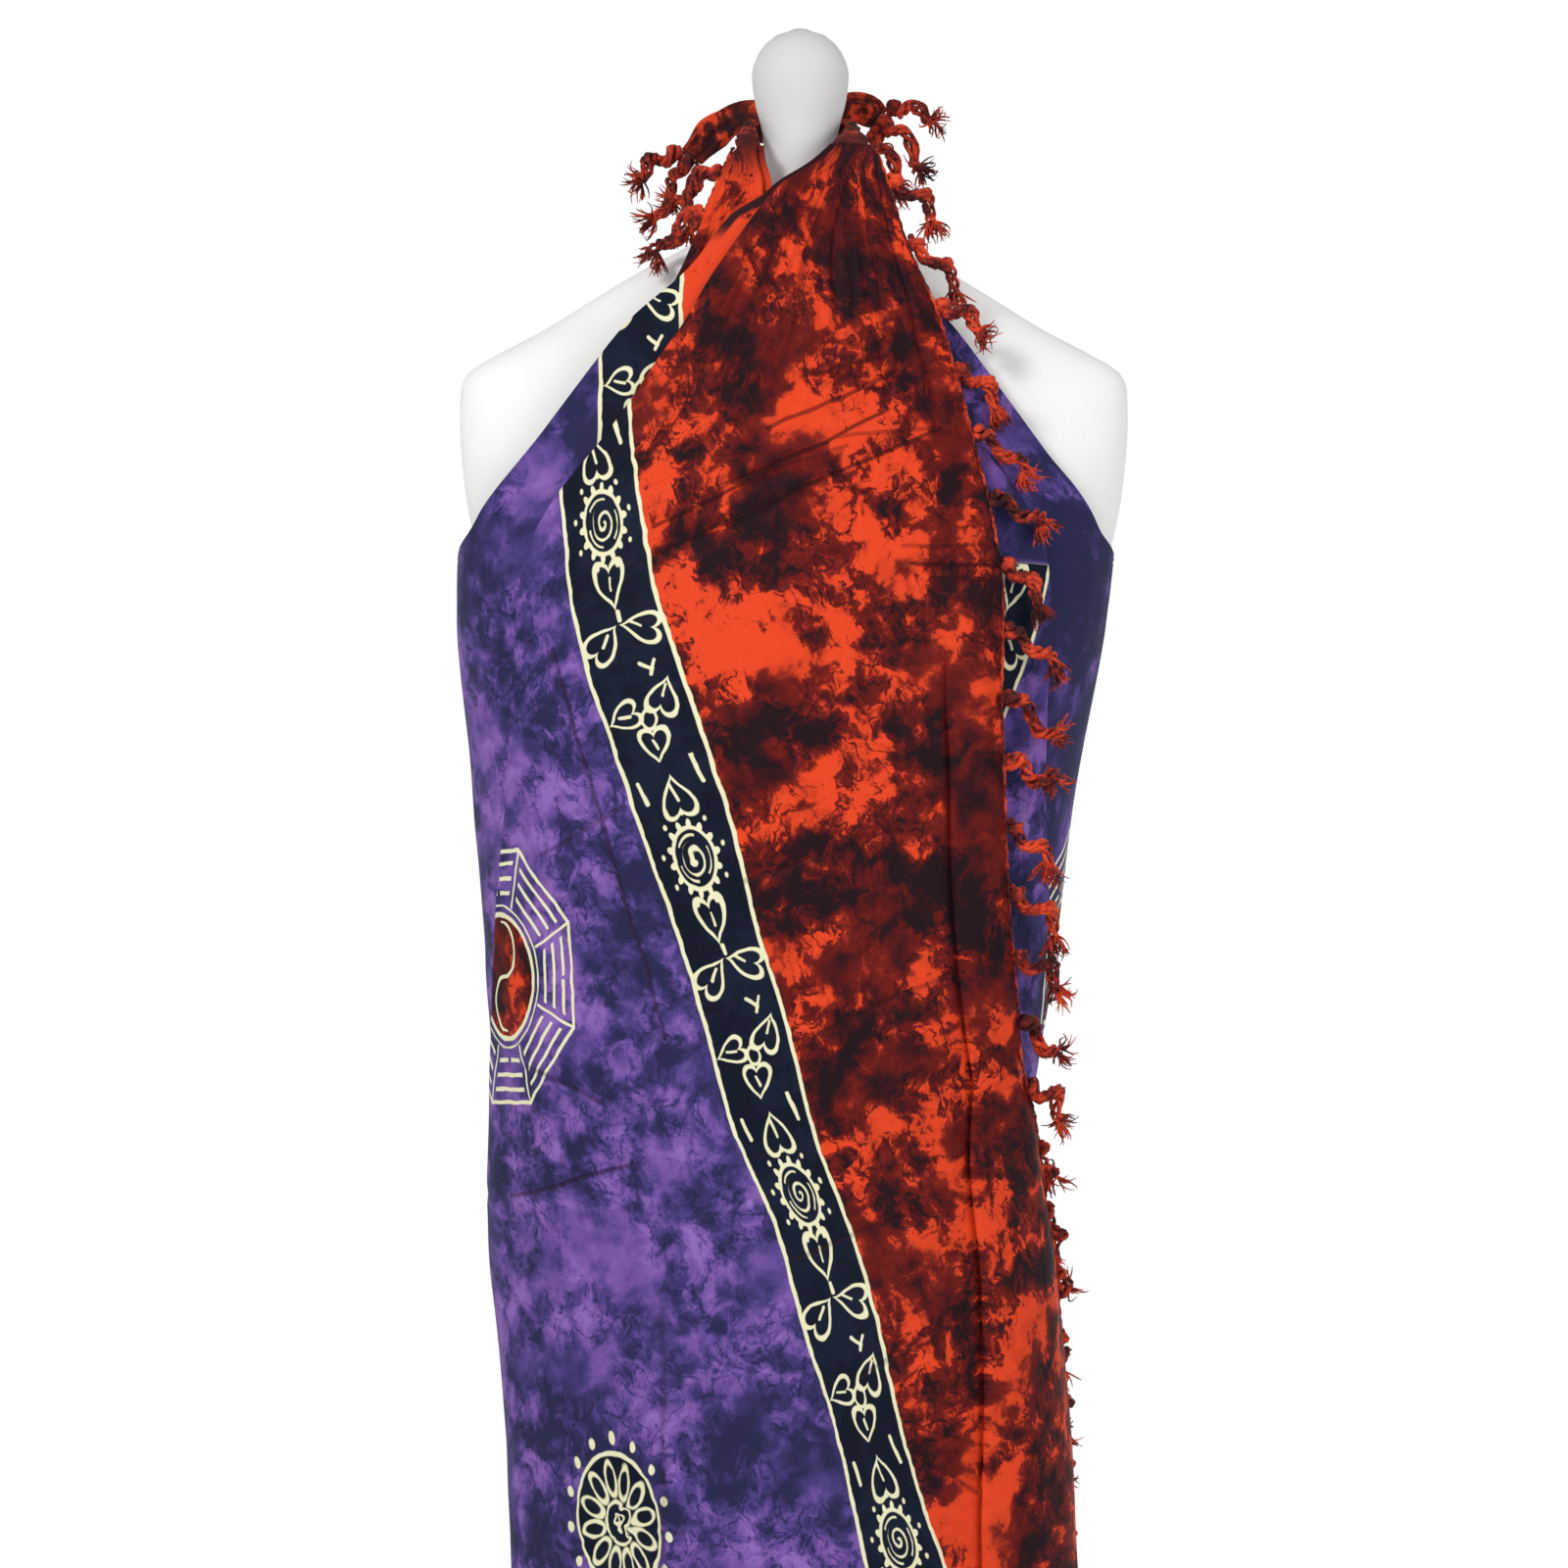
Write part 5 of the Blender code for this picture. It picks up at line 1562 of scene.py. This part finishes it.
def lathe(name, outline, hole):
    """A turned body of revolution from its outline, edges rounded."""
    bm = bmesh.new()
    verts = [bm.verts.new((x, 0.0, z)) for x, z in outline]
    edges = [bm.edges.new((a, b)) for a, b in zip(verts, verts[1:])]
    if hole:
        edges.append(bm.edges.new((verts[-1], verts[0])))
    bmesh.ops.spin(
        bm,
        geom=verts + edges,
        axis=(0.0, 0.0, 1.0),
        cent=(0.0, 0.0, 0.0),
        steps=96,
        angle=2 * math.pi,
        use_merge=True,
    )
    bmesh.ops.remove_doubles(bm, verts=bm.verts, dist=1e-6)
    bmesh.ops.recalc_face_normals(bm, faces=bm.faces)
    return mesh_from(bm, name)


def turned_outline(radius, bottom, top, edge, hole, groove=None):
    """The outline of a disc or ring with a rounded upper rim and a fine turned groove."""
    outline = [(hole, bottom), (radius - 0.0008, bottom), (radius, bottom + 0.0008)]
    if groove:
        outline += [
            (radius, groove - 0.0010),
            (radius - 0.0007, groove - 0.0004),
            (radius - 0.0007, groove + 0.0004),
            (radius, groove + 0.0010),
        ]
    for n in range(9):
        turn = math.radians(90 * n / 8)
        outline.append((radius - edge + edge * math.cos(turn), top - edge + edge * math.sin(turn)))
    outline.append((hole, top))
    return outline


class SarongCloth(bpy.types.PropertyGroup):
    """Sizes and colours of the cloth."""

    thickness: bpy.props.FloatProperty(
        name="Thickness", description="Wall of the cloth", default=0.0008, min=0.0003, max=0.002,
        subtype="DISTANCE", unit="LENGTH",
    )
    orange: bpy.props.FloatVectorProperty(
        name="Orange", description="Brightest dye of the end panels", default=(0.68, 0.055, 0.016),
        size=3, min=0.0, max=1.0, subtype="COLOR",
    )
    purple: bpy.props.FloatVectorProperty(
        name="Purple", description="Dye of the middle field", default=(0.175, 0.086, 0.320),
        size=3, min=0.0, max=1.0, subtype="COLOR",
    )
    cream: bpy.props.FloatVectorProperty(
        name="Cream", description="Undyed lines where wax kept the dye off", default=(0.81, 0.79, 0.54),
        size=3, min=0.0, max=1.0, subtype="COLOR",
    )
    medallion_turn: bpy.props.FloatProperty(
        name="Medallion turn", description="Turn of the eight-sided medallions on the cut, in degrees",
        default=-14.0, min=-90.0, max=90.0,
    )


class SarongFringe(bpy.types.PropertyGroup):
    """Sizes and colour of the fringe."""

    ply_radius: bpy.props.FloatProperty(
        name="Ply radius", description="Radius of one of a tassel's plies", default=0.0019,
        min=0.0004, max=0.002, subtype="DISTANCE", unit="LENGTH",
    )
    yarn: bpy.props.FloatVectorProperty(
        name="Yarn", description="Middle colour of the fringe's yarn", default=(0.38, 0.030, 0.013),
        size=3, min=0.0, max=1.0, subtype="COLOR",
    )


class SarongForm(bpy.types.PropertyGroup):
    """Colours of the dress form and its stand."""

    jersey: bpy.props.FloatVectorProperty(
        name="Jersey", description="Cover of the dress form", default=(0.84, 0.835, 0.825),
        size=3, min=0.0, max=1.0, subtype="COLOR",
    )
    steel: bpy.props.FloatVectorProperty(
        name="Steel", description="Metal of the stand", default=(0.66, 0.66, 0.68),
        size=3, min=0.0, max=1.0, subtype="COLOR",
    )


class SarongStage(bpy.types.PropertyGroup):
    """The floor, lights and camera."""

    floor: bpy.props.FloatVectorProperty(
        name="Floor", description="Colour of the floor", default=(0.86, 0.86, 0.86),
        size=3, min=0.0, max=1.0, subtype="COLOR",
    )
    dome: bpy.props.FloatProperty(
        name="Dome", description="Strength of the soft light from above and below",
        default=0.45, min=0.0, max=2.0,
    )
    key_power: bpy.props.FloatProperty(
        name="Key light", description="Power of the key light", default=38.0, min=0.0, max=1000.0,
        subtype="POWER", unit="POWER",
    )
    lens: bpy.props.FloatProperty(
        name="Lens", description="Focal length of the camera in millimetres", default=120.0,
        min=20.0, max=400.0,
    )


class SARONG_OT_front_cloth(bpy.types.Operator):
    """Lay the front panel: fringed edge, pleat, chest and turned-under fold"""

    bl_idname = "sarong.front_cloth"
    bl_label = "Front Cloth"

    def execute(self, context):
        look = context.scene.sarong_cloth
        columns, shares = pleated_columns(*FRONT_CELLS)
        angle, height, lift = lay_panel(columns, shares, 1.0, LAYER_FRONT, *FRONT_ROWS, LIP_CELLS)
        points = surface(angle, height, lift)
        fringe, fold = path(FRINGE, height), path(FOLD, height)
        folded = gathers((angle - fringe) / (fold - fringe), height)
        pinch = np.clip(-folded / GATHER_HEIGHT, 0.0, 1.0)
        shade = np.maximum(0.6 * ease(1.396, 1.424, height), 0.55 * pinch * ease(1.25, 1.36, height))
        fields = {"glow": dye_and_shade_patches(points), "shade": shade}
        mesh = grid_mesh("front_cloth", points, panel_uv(angle, height), fields)
        octagon_at, wheel_at = ((0.420, 0.453), (0, 0.64)), ((0.429, 0.784), (0, 0.64))
        finish = batik("batik_front", look, PANEL_SUN_AT, octagon_at, wheel_at)
        piece = add_piece("front_cloth", mesh, finish, ["front_panel"])
        thicken(piece, look.thickness)
        return {"FINISHED"}


class SARONG_OT_under_cloth(bpy.types.Operator):
    """Lay the under panel, which crosses beneath the front one"""

    bl_idname = "sarong.under_cloth"
    bl_label = "Under Cloth"

    def execute(self, context):
        look = context.scene.sarong_cloth

        def columns(height):
            fringe, fold = path(FRINGE, height), path(FOLD, height, -1.0)
            share = np.linspace(0.0, 1.0, height.shape[1])[None, :]
            return fringe + (fold - fringe) * share, 0.0 * height

        shares = spread(UNDER_CELLS)
        angle, height, lift = lay_panel(columns, shares, -1.0, LAYER_UNDER, *UNDER_ROWS, LIP_CELLS)
        points = surface(angle, height, lift)
        uv = panel_uv(-angle - 10.5, height)
        turned = height > 1.1725
        uv[..., 0] += np.where(turned, 0.085, 0.0)
        uv[..., 0] = CUT_LENGTH - uv[..., 0]
        # Painted shade: the turned-under face above 1.1725 m, which shows the purple field, is darkened;
        # the top near the neck runs brighter orange.
        glow = dye_and_shade_patches(points) * 0.5 - 0.5 * turned + 1.3 * ease(1.345, 1.375, height)
        fields = {"glow": glow, "shade": 0.85 * ease(1.396, 1.424, height)}
        mesh = grid_mesh("under_cloth", points, uv, fields)
        mesh.flip_normals()
        octagon_at = ((CUT_LENGTH - 0.468, 0.425), (0, 0.64))
        wheel_at = ((CUT_LENGTH - 0.42, 0.84), (0, 0.64))
        finish = batik("batik_under", look, PANEL_SUN_AT, octagon_at, wheel_at)
        piece = add_piece("under_cloth", mesh, finish, ["under_panel"])
        thicken(piece, look.thickness)
        return {"FINISHED"}


class SARONG_OT_wrap_cloth(bpy.types.Operator):
    """Lay the cloth round the sides and the back, with the strips that rise to the neck"""

    bl_idname = "sarong.wrap_cloth"
    bl_label = "Wrap Cloth"

    def side(self, sign, layer, shift):
        strip = np.linspace(TOP_HEIGHT - 0.0005, SIDE_TOP, 71, endpoint=False)
        upper = np.linspace(SIDE_TOP, HEM_ROWS_START, 70, endpoint=False)
        lower = np.linspace(HEM_ROWS_START, HEM_SIDE, 106)
        height = np.concatenate((strip, upper, lower))[:, None] + np.zeros((1, SIDE_CELLS + 1))
        tuck = TUCK_DEGREES * np.minimum(1.0, 0.16 / curve(WRAP_SECTIONS, HALF_WIDTH, height))
        inner = path(FOLD, height, sign) - tuck
        share = spread(SIDE_CELLS)[None, :]
        angle = inner + (path(EDGE, height, sign) - inner) * share
        points = surface(sign * angle, height, layer)
        uv = beside_uv(angle, height, np.abs(points[..., 0]), shift)
        rim = 0.78 - 0.6 * ease(1.376, 1.398, height)
        shade = ease(rim, rim + 0.05, share) * ease(1.362, 1.374, height) if sign > 0 else 0.0 * height
        plain = ease(1.22, 1.28, height) * (uv[..., 0] < 0.24)
        glow = dye_and_shade_patches(points) * (1.0 - plain) + 1.6 * plain
        if sign < 0:
            shade = 0.85 * ease(1.396, 1.424, height)
            # Painted shade: the right strip is darker all over, and darkest beside the under panel's fold.
            glow = glow - 0.25 - 0.55 * ease(0.50, 0.20, share)
            uv[..., 0] = CUT_LENGTH - uv[..., 0]
        fields = {"glow": glow, "shade": shade}
        mesh = grid_mesh("side_cloth", points, uv, fields)
        if sign < 0:
            mesh.flip_normals()
        return mesh, np.concatenate((upper, lower))

    def execute(self, context):
        look = context.scene.sarong_cloth
        left, heights = self.side(1.0, LAYER_LEFT_WRAP, 0.0)
        right, _ = self.side(-1.0, LAYER_RIGHT_WRAP, 0.040)
        share = spread(BACK_CELLS)[None, :]
        middle = np.sin(np.pi * share)
        below = ((SIDE_TOP - heights) / (SIDE_TOP - HEM_SIDE))[:, None]
        top = SIDE_TOP + 0.004 * middle
        hem = HEM_SIDE + (HEM_BACK - HEM_SIDE) * middle
        height = top + (hem - top) * below
        angle = SIDE_SEAM_DEGREES + (360.0 - 2 * SIDE_SEAM_DEGREES) * share + 0.0 * height
        layer = LAYER_LEFT_WRAP + (LAYER_RIGHT_WRAP - LAYER_LEFT_WRAP) * ease(0, 1, share)
        points = surface(angle, height, layer)
        uv = np.stack((field_u(angle), CUT_TOP - height), axis=-1)
        zero = np.zeros(height.shape)
        back = grid_mesh("back_cloth", points, uv, {"glow": zero, "shade": zero})
        mesh = joined("wrap_cloth", [left, back, right], 1e-5)
        octagon_at, wheel_at = ((0.500, 0.470), (0.382, 0.64)), ((0.470, 0.270), (0.350, 0.52))
        finish = batik("batik_field", look, 0.006, octagon_at, wheel_at)
        piece = add_piece(
            "wrap_cloth", mesh, finish, ["left_wrap", "back_wrap", "right_wrap"]
        )
        thicken(piece, look.thickness)
        return {"FINISHED"}


class SARONG_OT_neck_ties(bpy.types.Operator):
    """Gather the two bands round the neck, tie the knot and let the loose ends fall"""

    bl_idname = "sarong.neck_ties"
    bl_label = "Neck Ties"

    def execute(self, context):
        finish = rope_finish(context.scene.sarong_cloth)
        for name, side, thick, lift in (
            ("neck_band_right", 1.0, 0.0085, 0.0102),
            ("neck_band_left", -1.0, 0.0075, 0.0022),
        ):
            add_piece(name + "_cloth", band_mesh(side, thick, lift), finish, [name])
        add_piece("nape_knot_cloth", knot_mesh(), finish, ["nape_knot"])
        for side, corners in LOOSE_ENDS.items():
            mesh = loose_end_mesh(corners, 1.7 if side == "left" else 4.1)
            add_piece(f"loose_end_{side}_cloth", mesh, finish, [f"loose_end_{side}"])
        return {"FINISHED"}


class SARONG_OT_fringes(bpy.types.Operator):
    """Knot the tassels along the cloth's ends and corners"""

    bl_idname = "sarong.fringes"
    bl_label = "Fringes"

    def execute(self, context):
        look = context.scene.sarong_fringe
        finish = yarn_finish(look)
        for name, side, layer, top, bottom, lean in FRINGES:
            line, roots = fringe_roots(side, layer, top, bottom, lean)
            mesh = yarn_mesh(name, line, roots, look)
            add_piece(name + "_yarn", mesh, finish, [name])
        for side in LOOSE_ENDS:
            name = f"fringe_end_{side}"
            line, roots = end_roots(side)
            add_piece(name + "_yarn", yarn_mesh(name, line, roots, look), finish, [name])
        return {"FINISHED"}


class SARONG_OT_dress_form(bpy.types.Operator):
    """Shape the white jersey-covered form"""

    bl_idname = "sarong.dress_form"
    bl_label = "Dress Form"

    def execute(self, context):
        look = context.scene.sarong_form
        low = [row[0] for row in FORM_SECTIONS]
        rows = []
        for a, b in zip(low, low[1:]):
            rows.append(np.linspace(a, b, max(2, int((b - a) / FORM_STEP)), endpoint=False))
        heights = np.concatenate((*rows, low[-1:]))[:, None]
        turn = np.linspace(0.0, 2 * np.pi, FORM_ROUND + 1)[None, :]
        half_width, half_depth, middle = (curve(FORM_SECTIONS, k, heights) for k in (1, 2, 3))
        square = 2.0 + 0.35 * ease(1.19, 1.25, heights) * ease(1.33, 1.30, heights)
        shift = KNOB_SHIFT * ease(1.39, 1.44, heights)
        across = np.sign(np.cos(turn)) * np.abs(np.cos(turn)) ** (2 / square)
        deep = np.sign(np.sin(turn)) * np.abs(np.sin(turn)) ** (2 / square)
        rings = np.stack(
            (shift + half_width * across, middle + half_depth * deep, heights + 0.0 * across), axis=-1
        )
        ends = []
        for ring, z in ((rings[0], heights[0, 0]), (rings[-1], heights[-1, 0])):
            centre = np.array([ring[:-1, 0].mean(), ring[:-1, 1].mean(), z])
            ends.append(np.broadcast_to(centre, ring.shape)[None])
        points = np.concatenate((ends[0], rings, ends[1]))
        mesh = joined("dress_form_jersey", [grid_mesh("form", points)], 1e-6, outward=True)
        add_piece(
            "dress_form_jersey", mesh, jersey_finish(look), ["dress_form"], 80.0
        )
        return {"FINISHED"}


class SARONG_OT_stand(bpy.types.Operator):
    """Turn the stand's base, hub, pole and collar"""

    bl_idname = "sarong.stand"
    bl_label = "Stand"

    def execute(self, context):
        finish = metal_finish(context.scene.sarong_form)
        hub_bottom = BASE_THICK + REST_GAP
        hole = POLE_RADIUS + REST_GAP
        collar_top = FORM_BOTTOM - REST_GAP
        collar_bottom = collar_top - COLLAR_THICK
        collar_groove = collar_bottom + 0.008
        outlines = {
            "stand_base": (turned_outline(BASE_RADIUS, 0.0, BASE_THICK, 0.006, 0.0, 0.0045), 0.0),
            "stand_hub": (turned_outline(HUB_RADIUS, hub_bottom, HUB_TOP, 0.004, hole, 0.036), hole),
            "stand_collar": (
                turned_outline(COLLAR_RADIUS, collar_bottom, collar_top, 0.001, hole, collar_groove),
                hole,
            ),
            "stand_pole": (turned_outline(POLE_RADIUS, hub_bottom, collar_top, 0.001, 0.0), 0.0),
        }
        for name, (outline, inner) in outlines.items():
            mesh = lathe(name + "_steel", outline, inner)
            add_piece(name + "_steel", mesh, finish, [name], 35.0)
        return {"FINISHED"}


class SARONG_OT_stage(bpy.types.Operator):
    """Set the floor, the soft lights and the camera"""

    bl_idname = "sarong.stage"
    bl_label = "Stage"

    def light(self, name, place, aim, size, power):
        data = bpy.data.lights.new(name, "AREA")
        data.shape = "RECTANGLE"
        data.size, data.size_y = size
        data.energy = power
        lamp = set_out(name, data)
        lamp.location = place
        lamp.rotation_euler = (Vector(aim) - Vector(place)).to_track_quat("-Z", "Y").to_euler()

    def execute(self, context):
        look = context.scene.sarong_stage
        bm = bmesh.new()
        bmesh.ops.create_grid(bm, x_segments=8, y_segments=8, size=3.0)
        bmesh.ops.translate(bm, verts=bm.verts, vec=(0.0, 0.0, -FLOOR_DROP))
        mesh = mesh_from(bm, "floor")
        f = Finish("pale_floor", 0.8)
        shade = f.noise(f.place(), 3.0, 2.0)
        pale = tuple(channel * 0.97 for channel in look.floor)
        mesh.materials.append(f.paint(Base_Color=f.mix(shade, (*pale, 1.0), (*look.floor, 1.0))))
        floor = set_out("floor", mesh)
        world = context.scene.world or bpy.data.worlds.new("studio")
        context.scene.world = world
        world.use_nodes = True
        nodes, links = world.node_tree.nodes, world.node_tree.links
        way = nodes.new("ShaderNodeTexCoord")
        parts = nodes.new("ShaderNodeSeparateXYZ")
        height = nodes.new("ShaderNodeMath")
        height.operation = "ABSOLUTE"
        bright = nodes.new("ShaderNodeMapRange")
        low, high = HORIZON_BAND
        for key, value in (("From Min", low), ("From Max", high), ("To Min", 1.0), ("To Max", look.dome)):
            bright.inputs[key].default_value = value
        links.new(way.outputs["Generated"], parts.inputs[0])
        links.new(parts.outputs["Z"], height.inputs[0])
        links.new(height.outputs[0], bright.inputs["Value"])
        sky = nodes["Background"]
        sky.inputs["Color"].default_value = (1.0, 1.0, 1.0, 1.0)
        links.new(bright.outputs[0], sky.inputs["Strength"])
        context.scene.view_settings.view_transform = "Standard"
        chest = (0.0, 0.0, 1.0)
        self.light("key", (-1.4, -2.1, 2.5), chest, (0.6, 0.6), look.key_power)
        self.light("fill", (1.9, -2.2, 1.5), chest, (1.6, 1.6), FILL_SHARE * look.key_power)
        camera = set_out("camera", bpy.data.cameras.new("camera"))
        camera.data.lens = look.lens
        camera.data.sensor_width = 36.0
        camera.location = CAMERA_PLACE
        camera.rotation_euler = (math.radians(90.0), 0.0, 0.0)
        context.scene.camera = camera
        return {"FINISHED"}


class SARONG_PT_panel(bpy.types.Panel):
    """The sarong's pieces in the sidebar"""

    bl_idname = "SARONG_PT_panel"
    bl_label = "Batik Halter Wrap"
    bl_space_type = "VIEW_3D"
    bl_region_type = "UI"
    bl_category = "Sarong"

    def draw(self, context):
        for group in GROUPS:
            box = self.layout.box()
            settings = getattr(context.scene, group)
            for name in settings.bl_rna.properties.keys():
                if name not in ("rna_type", "name"):
                    box.prop(settings, name)
        for operator in OPERATORS:
            self.layout.operator(operator.bl_idname)


GROUPS = {
    "sarong_cloth": SarongCloth,
    "sarong_fringe": SarongFringe,
    "sarong_form": SarongForm,
    "sarong_stage": SarongStage,
}
OPERATORS = (
    SARONG_OT_stage,
    SARONG_OT_dress_form,
    SARONG_OT_stand,
    SARONG_OT_wrap_cloth,
    SARONG_OT_under_cloth,
    SARONG_OT_front_cloth,
    SARONG_OT_neck_ties,
    SARONG_OT_fringes,
)


def register():
    for group in (*GROUPS.values(), *OPERATORS, SARONG_PT_panel):
        bpy.utils.register_class(group)
    for name, group in GROUPS.items():
        setattr(bpy.types.Scene, name, bpy.props.PointerProperty(type=group))


def unregister():
    for name in GROUPS:
        delattr(bpy.types.Scene, name)
    for group in (SARONG_PT_panel, *reversed(OPERATORS), *reversed(GROUPS.values())):
        bpy.utils.unregister_class(group)


def plain(box):
    return [[float(x) for x in corner] for corner in box]


def main():
    register()
    for operator in OPERATORS:
        family, name = operator.bl_idname.split(".")
        getattr(getattr(bpy.ops, family), name)()
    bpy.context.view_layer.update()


if __name__ == "__main__":
    main()
